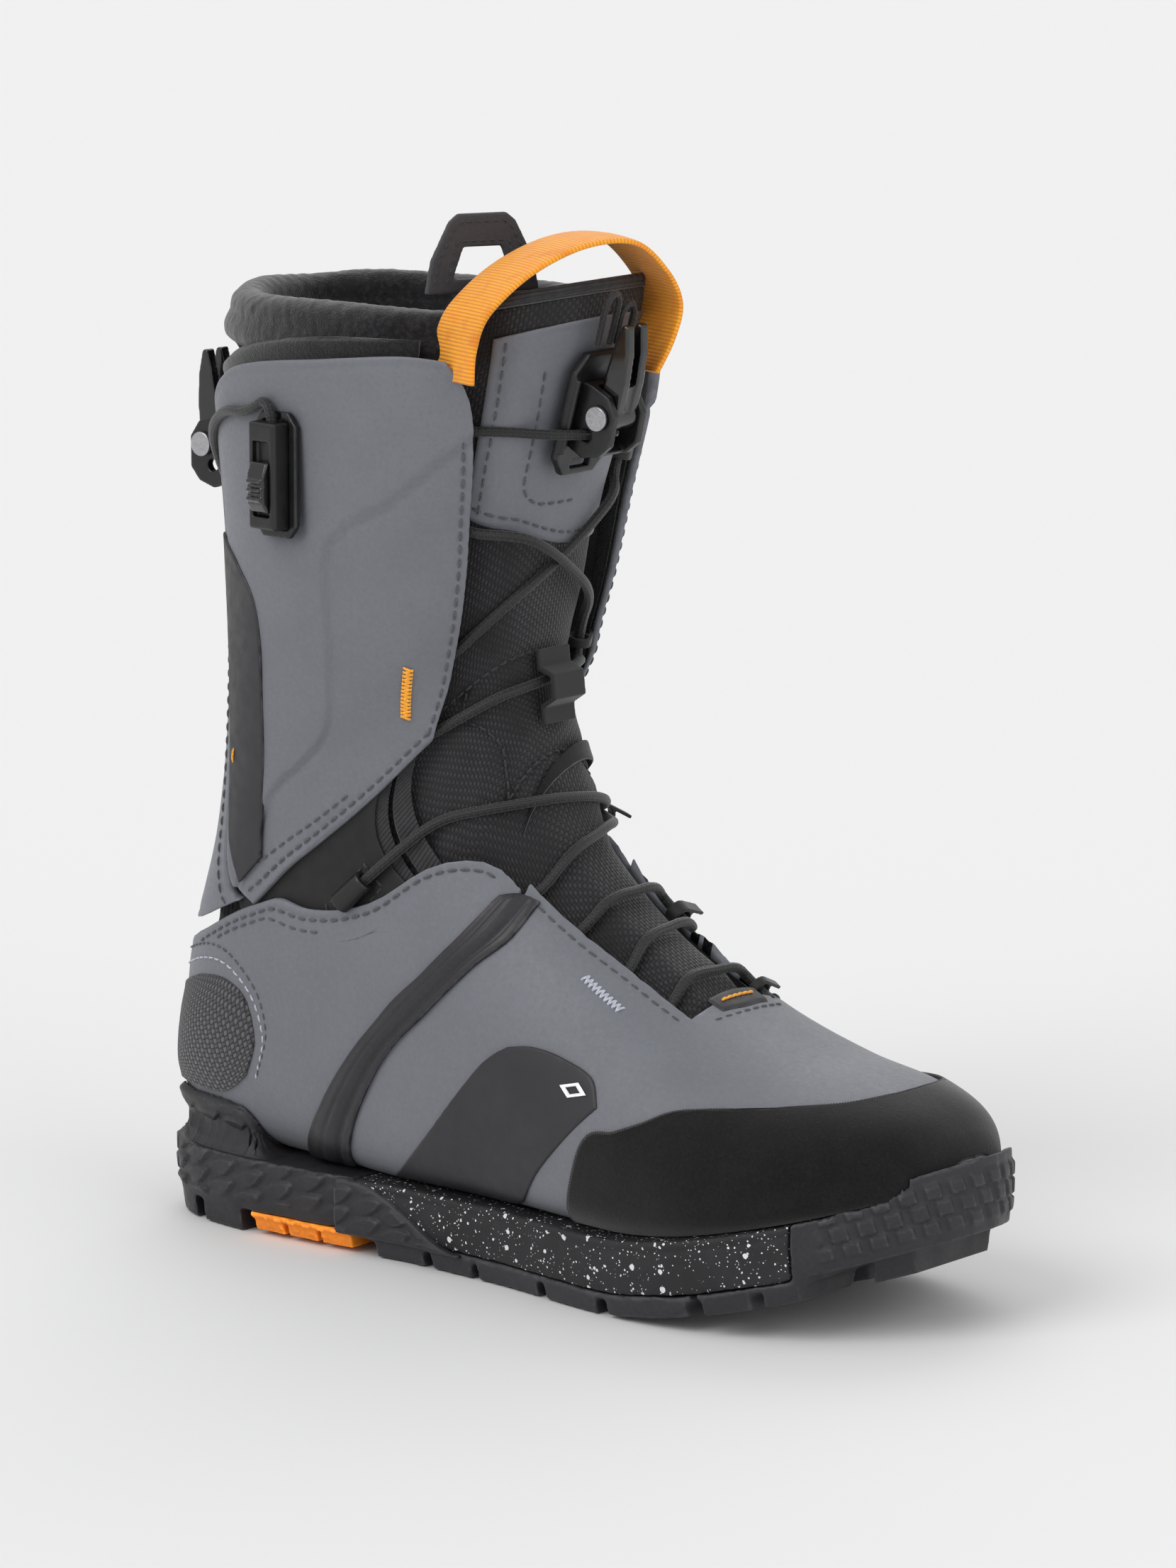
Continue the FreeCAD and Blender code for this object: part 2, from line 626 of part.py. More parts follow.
LACE_ARCH = 4.0
LACE_BEND = 4.6
LACE_HOLE_OUT = 8.7
LACE_HOLE_UP = -7.0
LOOP_LIFT = 4.2
GUIDE_START = (0.150, 8.72, 1.0)
GUIDE_END = (0.125, 8.66, 1.0)
LOOP_INNER = 2.9
LOOP_OUTER = 4.0
MEDIAL_LOOPS = [(5.05, 5.35), (5.95, 6.40), (7.55, 8.15), (9.75, 10.35), (12.20, 12.80)]


def medial_u(s):
    return -(edge_u(s) - 0.012)


def lateral_u(s):
    return edge_u(s) + 0.016


def build_laces():
    first, second, third, fourth, fifth = MEDIAL_LOOPS
    lower = [boot(*GUIDE_START), boot(*GUIDE_END), boot(0.103, 8.60, 0.0)]
    lower += crossing(0.070, 8.5, medial_u(8.15), third[1], 9, lift=LOOP_LIFT)
    lower += list(reversed(crossing(lateral_u(7.3), 7.3, medial_u(third[0]), third[0], 9, lift=LOOP_LIFT)))
    lower += crossing(lateral_u(6.65), 6.65, medial_u(second[1]), second[1], 9, lift=LOOP_LIFT)
    lower += list(reversed(
        crossing(lateral_u(5.95), 5.95, medial_u(second[0]), second[0], 9, lift=LOOP_LIFT)
    ))
    lower += crossing(lateral_u(5.45), 5.45, medial_u(first[1]), first[1], 9, lift=LOOP_LIFT)
    lower.append(over_tongue(medial_u(first[0]), first[0], LOOP_LIFT))
    keep("lace_lower", cord(lower, LACE_RADIUS, LACE_BEND))

    across_top = crossing(lateral_u(13.1), 13.1, medial_u(fifth[1]), fifth[1], 9, lift=LOOP_LIFT)
    through = [front_place(Part.Vertex(LACE_HOLE_OUT, y, LACE_HOLE_UP)).Point for y in (-13, 13)]
    upper = across_top[:2] + through + across_top[-2:]
    upper += list(reversed(crossing(lateral_u(10.4), 10.4, medial_u(fifth[0]), fifth[0], 11, lift=LOOP_LIFT)))
    upper += crossing(lateral_u(9.6), 9.6, medial_u(fourth[0]), fourth[0], 9, lift=LOOP_LIFT)
    upper += list(reversed(
        crossing(lateral_u(12.2), 12.2, medial_u(fourth[1]), fourth[1], 11, 5.2, LOOP_LIFT)
    ))
    keep("lace_upper", cord(upper, LACE_RADIUS, LACE_BEND))

    loops = []
    for low, high in MEDIAL_LOOPS:
        start = over_tongue(medial_u(low), low, LOOP_LIFT)
        end = over_tongue(medial_u(high), high, LOOP_LIFT)
        run = end - start
        run.normalize()
        middle = (start + end) * 0.5
        s = 0.5 * (low + high)
        out = boot(medial_u(s), s, 1.0) - boot(medial_u(s), s, 0.0)
        side = run.cross(out)
        if side.y < 0:
            side = side * -1
        side.normalize()
        out = side.cross(run)
        if out.dot(boot(medial_u(s), s, 1.0) - boot(medial_u(s), s, 0.0)) < 0:
            out = out * -1
        width = max(min((end - start).Length - 12.0, 10.0), 3.0)
        ring = Part.makeCylinder(LOOP_OUTER, width, middle - run * (width / 2), run)
        tail_corner = middle - run * (width / 2) + out * (LOOP_OUTER - 1.1)
        corners = [tail_corner, tail_corner + side * 9, tail_corner + side * 9 + out * 1.1,
                   tail_corner + out * 1.1]
        tail = Part.Face(Part.makePolygon(corners + corners[:1])).extrude(run * width)
        bore = Part.makeCylinder(LOOP_INNER, width + 2, middle - run * (width / 2 + 1), run)
        loops.append(ring.fuse(tail).cut(bore))
    keep("lace_loops_medial", Part.makeCompound(loops))

    tail = [boot(0.470, 13.30, 3.4), boot(0.44, 13.55, 3.3), boot(0.40, 13.72, 3.3),
            boot(0.36, 13.80, 3.3), boot(0.325, 13.72, 3.6)]
    lock_top = lock_place(Part.Vertex(LOCK_BORE_DEPTH, 0, LOCK_HALF + 9)).Point
    lock_end = lock_place(Part.Vertex(LOCK_BORE_DEPTH, 0, LOCK_HALF - 8)).Point
    keep("lace_side_tail", cord(tail + [lock_top, lock_end], LACE_RADIUS, 9.0))

    loops = []
    for centre, height in ((-4.5, 37.0), (4.5, 33.0)):
        points = [Vector(4.6, centre - 3.0, 21.5), Vector(4.6, centre - 3.6, height),
                  Vector(4.6, centre + 3.6, height), Vector(4.6, centre + 3.0, 21.5)]
        loops.append(front_place(cord(points, 1.1, 3.4)))
    keep("front_cord_loops", Part.makeCompound(loops))


# ---------------------------------------------------------------- lace locks
# Each lock is drawn upright: X away from the boot, Y across, Z up, then put in place.
FRONT_LEAN = 16.0
FRONT_PLACE = Vector(2.6, -5.0, 277.0)
REAR_LEAN = -4.4
REAR_PLACE = Vector(-135.6, -6.0, 253.0)
LOCK_TURN = -98.0
LOCK_PLACE = Vector(-79.0, -56.6, 253.0)
LOCK_HALF = 17.0
LOCK_BORE_DEPTH = 3.7
PIN_OUT = 12.0
PIN_RADIUS = 2.4
PIN_FIT = 0.05


def front_place(shape):
    shape = shape.copy()
    shape.rotate(Vector(0, 0, 0), Vector(0, 1, 0), FRONT_LEAN)
    shape.translate(FRONT_PLACE)
    return shape


def rear_place(shape):
    shape = shape.copy()
    shape.rotate(Vector(0, 0, 0), Vector(0, 0, 1), 180)
    shape.rotate(Vector(0, 0, 0), Vector(0, 1, 0), REAR_LEAN)
    shape.translate(REAR_PLACE)
    return shape


def lock_place(shape):
    shape = shape.copy()
    shape.rotate(Vector(0, 0, 0), Vector(0, 0, 1), LOCK_TURN)
    shape.translate(LOCK_PLACE)
    return shape


def prism(corners, y_low, y_high, rounding=0.0):
    """Side outline in X and Z pushed through from y_low to y_high."""
    points = [Vector(x, y_low, z) for x, z in corners]
    solid = Part.Face(Part.makePolygon(points + points[:1])).extrude(Vector(0, y_high - y_low, 0))
    if rounding:
        across = [e for e in solid.Edges if abs(e.tangentAt(e.FirstParameter).y) > 0.99]
        solid = solid.makeFillet(rounding, across)
    return solid


def plate(corners, x_low, x_high):
    """Front outline in Y and Z given a thickness along X."""
    points = [Vector(x_low, y, z) for y, z in corners]
    return Part.Face(Part.makePolygon(points + points[:1])).extrude(Vector(x_high - x_low, 0, 0))


def build_lever_lock(prefix, place, plate_width, plate_height, low_end):
    half = plate_width / 2
    base = plate(
        [(-half + 5, low_end), (half - 5, low_end), (half, low_end + 6),
         (half, low_end + plate_height - 6), (half - 5, low_end + plate_height),
         (-half + 5, low_end + plate_height), (-half, low_end + plate_height - 6), (-half, low_end + 6)],
        0.4, 3.0,
    )
    base = base.makeFillet(0.6, [e for e in base.Edges if e.BoundBox.XMin > 2.9])
    rail = prism([(2.0, low_end + 8), (4.6, low_end + 8), (4.6, low_end + plate_height - 8),
                  (2.0, low_end + plate_height - 8)], -half + 0.4, -half + 2.0)
    slot = plate([(-5, low_end + 2.2), (5, low_end + 2.2), (5, low_end + 5.6), (-5, low_end + 5.6)], -1, 5)
    base = base.fuse(rail).cut(slot).removeSplitter()
    keep(prefix + "_plate", place(base))

    floor = prism([(3.0 + 0.02, -13), (6.4, -13), (6.4, 9), (3.0 + 0.02, 9)], -8.6, 8.6)
    ear_side = [(3.02, -13), (9, -14.5), (15, -12), (18.2, -7.5), (17.6, 2.5), (13.5, 7.5), (7, 9), (3.02, 9)]
    body = [floor]
    for low, high in ((-8.6, -5.6), (5.6, 8.6)):
        body.append(prism(ear_side, low, high, 0.9))
    body.append(prism([(6.0, -13.6), (12.0, -13.6), (14.5, -11.6), (12.0, -10.4), (6.0, -10.4)], -6, 6))
    body = fuse_all(body)
    bore = Part.makeCylinder(PIN_RADIUS + PIN_FIT, 30, Vector(PIN_OUT, -15, 0), Vector(0, 1, 0))
    lace_hole = Part.makeCylinder(
        LACE_RADIUS + 0.5, 30, Vector(LACE_HOLE_OUT, -15, LACE_HOLE_UP), Vector(0, 1, 0)
    )
    keep(prefix + "_body", place(body.cut(bore).cut(lace_hole)))

    pin = Part.makeCylinder(PIN_RADIUS, 18.4, Vector(PIN_OUT, -9.2, 0), Vector(0, 1, 0))
    for low in (-10.4, 9.0):
        head = Part.makeCylinder(4.0, 1.4, Vector(PIN_OUT, low, 0), Vector(0, 1, 0))
        pin = pin.fuse(head.makeFillet(0.4, head.Edges))
    keep(prefix + "_pin", place(pin.removeSplitter()))

    hub = Part.makeCylinder(4.7, 10.6, Vector(PIN_OUT, -5.3, 0), Vector(0, 1, 0))
    arm_side = [(8.9, 1.0), (8.2, 12), (9.2, 24), (10.6, 30.5), (12.8, 30.2), (15.2, 22), (16.2, 12),
                (16.0, 1.0)]
    lever = [hub]
    for low, high in ((-5.3, -1.7), (1.7, 5.3)):
        lever.append(prism(arm_side, low, high, 0.8))
    lever.append(prism([(9.2, 2.0), (8.7, 11), (15.6, 11), (15.8, 2.0)], -2.5, 2.5))
    lever = fuse_all(lever)
    bore = Part.makeCylinder(PIN_RADIUS + PIN_FIT, 30, Vector(PIN_OUT, -15, 0), Vector(0, 1, 0))
    keep(prefix + "_lever", place(lever.cut(bore)))


def build_side_lock():
    outer = [(-9.5, -16), (-6, -20), (6, -20), (9.5, -16), (9.5, 16), (6, 20), (-6, 20), (-9.5, 16)]
    inner = [(-6.3, -17.3), (6.3, -17.3), (6.3, 17.3), (-6.3, 17.3)]
    bezel = plate(outer, 0.6, 2.8).cut(plate(inner, 0.0, 4.0))
    bezel = bezel.cut(Part.makeBox(4.0, 5.2, 6.0, Vector(1.3, -2.6, 16.0)))
    keep("side_lock_bezel", lock_place(bezel))
    body = Part.makeBox(8.2, 12.0, 2 * LOCK_HALF, Vector(0.8, -6.0, -LOCK_HALF))
    body = body.makeFillet(1.2, [e for e in body.Edges if e.BoundBox.XMin > 8.9])
    groove = Part.makeBox(3.0, 8.0, 24.0, Vector(6.6, -4.0, -13.0))
    bore = Part.makeCylinder(LACE_RADIUS + 0.4, 14, Vector(LOCK_BORE_DEPTH, 0, LOCK_HALF - 12))
    keep("side_lock_body", lock_place(body.cut(groove).cut(bore)))
    thumb = prism(
        [(6.7, -11.5), (9.4, -11.5), (11.5, -8.5), (11.5, 0.5), (9.8, 4.5), (6.7, 4.5)], -3.8, 3.8, 0.4
    )
    ridges = [thumb]
    for k in range(3):
        ridges.append(Part.makeBox(1.3, 6.4, 1.2, Vector(11.2, -3.2, -7.5 + 2.8 * k)))
    keep("side_lock_thumb", lock_place(fuse_all(ridges)))


# ---------------------------------------------------------------- straps
KEEPER_PLACE = Vector(-15.6, 1.0, 184.5)


def strip(points, width, thickness):
    """Flat webbing: middle line in Y and Z, pushed along X by its width, centred on zero."""
    curve = Part.BSplineCurve()
    curve.interpolate([Vector(0, y, z) for y, z in points])
    inner = []
    outer = []
    for k in range(25):
        parameter = curve.FirstParameter + (curve.LastParameter - curve.FirstParameter) * k / 24
        at = curve.value(parameter)
        along = Vector(*curve.tangent(parameter)[0])
        across = Vector(0, -along.z, along.y) * (thickness / 2)
        inner.append(at - across)
        outer.append(at + across)
    first = Part.BSplineCurve()
    first.interpolate(inner)
    second = Part.BSplineCurve()
    second.interpolate(outer)
    wire = Part.Wire([
        first.toShape(),
        Part.LineSegment(inner[-1], outer[-1]).toShape(),
        second.toShape(),
        Part.LineSegment(outer[0], inner[0]).toShape(),
    ])
    solid = Part.Face(wire).extrude(Vector(width, 0, 0))
    solid.translate(Vector(-width / 2, 0, 0))
    return solid


def build_straps():
    loop = strip([(-44, 286), (-45, 300), (-40, 315), (-22, 326), (0, 329), (20, 326), (38, 315),
                  (44, 302), (44, 292)], 25.0, 2.0)
    loop.rotate(Vector(0, 0, 0), Vector(0, 0, 1), -21.0)
    loop.translate(Vector(2.0, -17.2, 0))
    keep("pull_strap", loop)

    rear = strip([(-1.0, 262), (2.0, 270), (7.0, 278), (13.0, 286), (9.0, 291.5), (-1.0, 291),
                  (-9.5, 286)], 20.0, 2.0)
    rear.rotate(Vector(0, 0, 0), Vector(0, 0, 1), 90.0)
    rear.translate(Vector(-139.2, 16.0, 0))
    keep("rear_pull_loop", rear)

    cross = prism([(0.6, -12.0), (0.6, -5.5), (5.6, -3.2), (5.6, 3.2), (0.6, 5.5), (0.6, 12.0),
                   (2.0, 12.0), (2.0, 6.6), (7.0, 4.0), (7.0, -4.0), (2.0, -6.6), (2.0, -12.0)], -8, 8)
    cross.rotate(Vector(0, 0, 0), Vector(0, 1, 0), -6.6)
    cross.translate(KEEPER_PLACE)
    keep("tongue_lace_keeper", cross)

    outer = [(-19, 311.5), (-17, 322), (-11, 334), (-8, 336.5), (8, 336.5), (11, 334), (17, 322), (19, 311.5)]
    window = [(-10, 316), (-6.5, 326), (6.5, 326), (10, 316)]
    tab = plate(outer, -1.2, 1.2).cut(plate(window, -3, 3))
    tab.rotate(Vector(0, 0, 0), Vector(0, 0, 1), -30.0)
    tab.translate(Vector(-24.0, -24.0, 0))
    keep("liner_pull_tab", tab)



# ---------------------------------------------------------------- liner
def liner_point(u, s, side, front, back):
    """Point on a section pulled inward by side, front and back amounts."""
    fx, fz, bx, bz, share, lateral, medial, round_front, round_back = spline(SECTIONS, s)
    length = math.hypot(fx - bx, fz - bz)
    dx = (fx - bx) / length
    dz = (fz - bz) / length
    length = length - front - back
    bx += back * dx
    bz += back * dz
    along = math.cos(2 * math.pi * u)
    across = math.sin(2 * math.pi * u)
    half = (1 - share) * length if along >= 0 else share * length
    power = round_front if along >= 0 else round_back
    width = (lateral if across >= 0 else medial) - side
    radius = (abs(along / half) ** power + abs(across / width) ** power) ** (-1 / power)
    reach = share * length + radius * along
    return Vector(bx + reach * dx, -radius * across, bz + reach * dz)


def liner_insets(s, depth):
    """Side, front and back insets of the liner outside plus a depth of foam."""
    front = 7.0 + 9.5 * smooth(3.4, 4.8, s)
    return LINER_SIDE + depth, front + depth, 8.5 + depth


def liner_loft(stations, depth):
    wires = []
    for s in stations:
        side, front, back = liner_insets(s, depth)
        curve = Part.BSplineCurve()
        curve.interpolate([liner_point(k / 36, s, side, front, back) for k in range(36)], PeriodicFlag=True)
        wires.append(Part.Wire(curve.toShape()))
    return Part.makeLoft(wires, True, False)


def build_liner():
    stations = [1.9, 2.6, 3.5, 4.4, 5.2, 6.0, 6.8, 7.5, 8.1, 8.6, 9.1, 9.7, 10.5, 11.5, 12.5, 13.5, 14.9]
    outside = liner_loft(stations, 0.0)
    inside = liner_loft([2.7] + stations[2:-1] + [15.6], LINER_FOAM)
    gate = Part.makeBox(90, 24, 160, Vector(-40, -12, 196))
    lid = Part.makeBox(260, 160, 120, Vector(-180, -80, LINER_TOP))
    keep("liner_shell", outside.cut(inside).cut(gate).cut(lid))

    tongue = patch([(-0.12, 8.8), (-0.12, 12.0), (-0.12, 14.2)], [(0.12, 8.8), (0.12, 12.0), (0.12, 14.2)],
                   [(-0.12, 8.8), (0.0, 8.6), (0.12, 8.8)],
                   [(-0.12, 14.2), (0.0, 14.2), (0.12, 14.2)], 13, 15)
    keep("liner_tongue", panel(tongue, -25.5, -31.0))

    ring = []
    for k in range(33):
        u = 0.10 + 0.80 * k / 32
        s = section_at(u, LINER_TOP + COLLAR_RADIUS + 0.4)
        side, front, back = liner_insets(s, 0.5 * LINER_FOAM)
        point = liner_point(u, s, side, front, back)
        ring.append(Vector(point.x, point.y, LINER_TOP + COLLAR_RADIUS + 0.4))
    curve = Part.BSplineCurve()
    curve.interpolate(ring)
    path = Part.Wire(curve.toShape())
    profile = Part.Wire(Part.makeCircle(COLLAR_RADIUS, ring[0], ring[1] - ring[0]))
    keep("liner_collar", path.makePipeShell([profile], True, False))

    def low(x):
        return SOLE_TOP + spring(x) + 15.0

    keep("footbed", slab(steps(-116, 108, 13), low, lambda x: low(x) + 3.5,
                         lambda x: half_width(x, 1) + 24, lambda x: half_width(x, -1) - 23, 0.5, 0.4))


def build_guides():
    start = boot(*GUIDE_START)
    end = boot(*GUIDE_END)
    heading = end - start
    centre = start + heading * 0.35
    heading.normalize()
    guide = Part.makeCylinder(3.7, 13, centre - heading * 6.5, heading)
    guide = guide.makeFillet(0.5, guide.Edges)
    guide = guide.cut(Part.makeCylinder(LACE_RADIUS + 0.4, 30, centre - heading * 15, heading))
    keep("ankle_lace_guide", guide)


build_sole()
build_lower_shell()
build_cuff()
build_tongue()
build_lever_lock("front_lock", front_place, 26.0, 41.0, -23.0)
build_lever_lock("rear_lock", rear_place, 22.0, 30.0, -16.0)
build_side_lock()
build_laces()
build_guides()
build_straps()
build_liner()
for node_name, node_shape in NODES.items():
    node_shape.exportStep("parts/" + node_name + ".step")
    box = node_shape.BoundBox
    print(node_name, len(node_shape.Solids), round(node_shape.Volume / 1000, 2),
          [round(v, 1) for v in (box.XMin, box.XMax, box.YMin, box.YMax, box.ZMin, box.ZMax)])
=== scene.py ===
"""Looks of a snowboard boot: leather-like panels, woven tongue, webbing, laces and moulded parts."""

import math

import bmesh
import bpy
import numpy as np
from mathutils import Matrix, Vector


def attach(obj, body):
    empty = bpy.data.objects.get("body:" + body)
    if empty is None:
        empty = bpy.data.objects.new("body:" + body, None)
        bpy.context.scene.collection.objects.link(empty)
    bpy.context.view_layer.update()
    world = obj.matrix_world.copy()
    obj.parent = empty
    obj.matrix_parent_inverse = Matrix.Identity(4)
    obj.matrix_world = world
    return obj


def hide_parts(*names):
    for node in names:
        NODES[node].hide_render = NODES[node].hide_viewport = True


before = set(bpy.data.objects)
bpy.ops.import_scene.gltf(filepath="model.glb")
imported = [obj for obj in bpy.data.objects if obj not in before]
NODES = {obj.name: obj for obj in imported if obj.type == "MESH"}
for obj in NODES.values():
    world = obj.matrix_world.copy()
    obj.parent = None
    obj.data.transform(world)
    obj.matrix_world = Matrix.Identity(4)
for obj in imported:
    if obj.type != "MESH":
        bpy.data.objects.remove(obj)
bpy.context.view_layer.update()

# ---------------------------------------------------------------- driving sizes (mm, as in the CAD part)
MM = 0.001
SHIFT = np.array((1.75, 6.7, 0.0))      # the boot surface is written about its own origin
SOLE_TOP = 25.0
TOE_SPRING = 24.0
GAP = 0.3
WALL = 3.0
TONGUE_SINK = 8.8
LACE_RADIUS = 1.6
EDGE_ROUND = 0.9
SEAM_INSET = 2.9
STITCH_PITCH = 4.3
STITCH_LENGTH = 3.3
THREAD_RADIUS = 0.42

# Boot sections from the toe tip to above the cuff: front x, front z, back x, back z, centre
# share, lateral half width, medial half width, front roundness, back roundness.
SECTIONS = np.array([
    (152, 50, 152, 46, 0.50, 4, 4, 2.2, 2.2),
    (147, 61, 147, 45, 0.30, 22, 17, 2.3, 2.6),
    (137, 69, 137, 41, 0.20, 39, 30, 2.3, 3.0),
    (117, 75, 117, 35, 0.20, 52, 43, 2.3, 3.5),
    (90, 80, 92, 29, 0.22, 58, 50, 2.3, 4.0),
    (60, 92, 62, 23, 0.25, 58, 50, 2.2, 4.0),
    (26, 112, 28, 22, 0.26, 54, 47, 2.1, 4.0),
    (-1, 137, -15, 22, 0.27, 50, 46, 2.1, 3.6),
    (-12, 163, -72, 22, 0.33, 48, 46, 2.2, 3.2),
    (-17, 184, -148, 30, 0.45, 47, 46, 2.3, 2.6),
    (-17, 202, -153, 72, 0.50, 47, 46, 2.3, 2.4),
    (-13, 222, -140, 122, 0.50, 50, 48, 2.3, 2.2),
    (-8, 248, -133, 168, 0.50, 53, 51, 2.3, 2.2),
    (0, 276, -132, 220, 0.50, 56, 54, 2.3, 2.2),
    (9, 306, -136, 272, 0.50, 58, 56, 2.3, 2.2),
    (13, 326, -138, 296, 0.50, 58, 56, 2.3, 2.2),
    (17, 346, -140, 320, 0.50, 58, 56, 2.3, 2.2),
], float)

# Front edge of the lateral panels: section, u.
THROAT = np.array([
    (4.5, 0.072), (5.1, 0.070), (5.7, 0.060), (6.5, 0.057), (7.0, 0.055), (7.6, 0.066),
    (8.2, 0.085), (8.8, 0.075), (9.3, 0.063), (10.1, 0.063), (11.1, 0.074), (11.9, 0.083),
    (13.2, 0.103), (14.5, 0.115),
])

# Sole outline: x, lateral half width, medial half width.
OUTLINE = np.array([
    (-158, 7, 7), (-157, 14, 14), (-155, 19.5, 19.5), (-150, 27, 27), (-144, 32.5, 32),
    (-134, 38, 37), (-115, 42.5, 41), (-80, 44, 41), (-40, 44, 39), (0, 49, 42), (40, 58, 50),
    (60, 61, 53), (75, 62, 54), (90, 61, 53.5), (105, 58, 51.5), (118, 53, 48), (127, 48, 44),
    (134, 42.5, 39.5), (141, 35, 33), (147, 26.5, 25), (151, 18.5, 17.5), (153.5, 11, 10.5),
    (154.5, 6, 6),
], float)


# ---------------------------------------------------------------- camera
def make_camera():
    azimuth = math.radians(37.97)
    elevation = math.radians(10.387)
    back = Vector((math.sin(azimuth) * math.cos(elevation), -math.cos(azimuth) * math.cos(elevation),
                   math.sin(elevation)))
    right = Vector((math.cos(azimuth), math.sin(azimuth), 0))
    up = back.cross(right)
    aim = Vector((0.00175, 0.0067, 0.140)) + up * 0.01397 - right * 0.00045
    data = bpy.data.cameras.new("camera")
    data.lens = 183.7
    data.sensor_width = 36
    data.clip_start = 0.05
    data.clip_end = 200
    camera = bpy.data.objects.new("camera", data)
    bpy.context.scene.collection.objects.link(camera)
    turn = Matrix((right, up, back)).transposed().to_4x4()
    camera.matrix_world = Matrix.Translation(aim + back * 2.540) @ turn
    bpy.context.scene.camera = camera


make_camera()


# ---------------------------------------------------------------- number helpers
def rows_at(table, position):
    """Smooth rows of a table at fractional row numbers."""
    table = np.asarray(table, float)
    last = len(table) - 1
    position = np.asarray(position, float)
    row = np.clip(np.floor(position), 0, last - 1).astype(int)
    t = (position - row)[..., None]
    a = table[np.maximum(row - 1, 0)]
    b = table[row]
    c = table[row + 1]
    d = table[np.minimum(row + 2, last)]
    return b + 0.5 * ((c - a) * t + (2 * a - 5 * b + 4 * c - d) * t ** 2 + (3 * b - 3 * c + d - a) * t ** 3)


def smooth(low, high, value):
    t = np.clip((np.asarray(value, float) - low) / (high - low), 0, 1)
    return t * t * (3 - 2 * t)


def bell(value, width):
    return np.exp(-(np.asarray(value, float) / width) ** 2)


def unit(vectors):
    return vectors / np.maximum(np.linalg.norm(vectors, axis=-1, keepdims=True), 1e-12)


def ripple(points, length, seed=0):
    """Gentle repeatable unevenness, about -1 to 1, over a length in mm."""
    random = np.random.default_rng(seed)
    total = 0
    for k in range(5):
        direction = unit(random.normal(size=3)) * 2 * math.pi / (length * random.uniform(0.7, 1.4))
        total = total + np.sin(points @ direction + random.uniform(0, 6.3))
    return total / 2.6


def smooth_line(points, count):
    """Even curve through a few points."""
    points = np.asarray(points, float)
    fine = rows_at(points, np.linspace(0, len(points) - 1, 40 * len(points)))
    return resample(fine, count)


def resample(line, count):
    steps = np.linalg.norm(np.diff(line, axis=0), axis=1)
    reach = np.concatenate(([0], np.cumsum(steps)))
    want = np.linspace(0, reach[-1], count)
    return np.stack([np.interp(want, reach, line[:, k]) for k in range(line.shape[1])], -1)


def length_of(line):
    return float(np.linalg.norm(np.diff(line, axis=0), axis=1).sum())


# ---------------------------------------------------------------- the boot surface
def boot(u, s, off=0.0):
    """Points on the boot: u runs round (0 front, 0.25 lateral, 0.5 back), s counts sections."""
    u, s, off = np.broadcast_arrays(np.asarray(u, float), np.asarray(s, float), np.asarray(off, float))
    fx, fz, bx, bz, share, lateral, medial, round_front, round_back = np.moveaxis(rows_at(SECTIONS, s), -1, 0)
    length = np.hypot(fx - bx, fz - bz)
    dx = (fx - bx) / length
    dz = (fz - bz) / length
    along = np.cos(2 * math.pi * u)
    across = np.sin(2 * math.pi * u)
    half = np.where(along >= 0, (1 - share) * length, share * length)
    power = np.where(along >= 0, round_front, round_back)
    width = np.where(across >= 0, lateral, medial)
    radius = (np.abs(along / half) ** power + np.abs(across / width) ** power) ** (-1 / power) + off
    cx = bx + share * (fx - bx)
    cz = bz + share * (fz - bz)
    return np.stack((cx + radius * along * dx, -radius * across, cz + radius * along * dz), -1)


def normals_at(u, s):
    step = 0.002
    a = boot(u + step, s) - boot(u - step, s)
    b = boot(u, s + 20 * step) - boot(u, s - 20 * step)
    normal = unit(np.cross(a, b))
    out = boot(u, s, 1.0) - boot(u, s, 0.0)
    return normal * np.sign((normal * out).sum(-1, keepdims=True))


def spring(x):
    return TOE_SPRING * np.maximum((x - 47.5) / 107.0, 0.0) ** 1.5


def feather(s, rise=0.5):
    """Where the section meets the top of the sole, as u."""
    s = np.asarray(s, float)
    low = np.full(s.shape, 0.22)
    high = np.full(s.shape, 0.5)
    end = boot(high, s)
    clear = end[..., 2] > SOLE_TOP + spring(end[..., 0]) + rise
    for step in range(30):
        middle = 0.5 * (low + high)
        point = boot(middle, s)
        above = point[..., 2] > SOLE_TOP + spring(point[..., 0]) + rise
        low = np.where(above, middle, low)
        high = np.where(above, high, middle)
    return np.where(clear, 0.5, low)


def feather_one(s, rise=0.5):
    return float(feather(np.array([s]), rise)[0])


def edge_u(s):
    return np.interp(s, THROAT[:, 0], THROAT[:, 1])


def crown(u, s):
    """Outside of the tongue: proud in the middle, sunk where the panels lie over it."""
    edge = edge_u(s)
    middle = 1 - smooth(0, 1, (np.abs(u) - edge + 0.040) / 0.044)
    return -TONGUE_SINK + (TONGUE_SINK - 0.5) * middle * smooth(4.9, 5.5, s)


def flare(u, s):
    """The medial cuff stands away from the tongue toward its front edge."""
    return 11.0 * smooth(0, 1, (0.21 - np.abs(u)) / 0.14) * smooth(9.0, 9.9, s)


def section_at(u, height, low=4.6, high=16.0):
    """Section number where the boot reaches a height at u."""
    for step in range(30):
        middle = 0.5 * (low + high)
        if boot(u, middle)[2] < height:
            low = middle
        else:
            high = middle
    return low


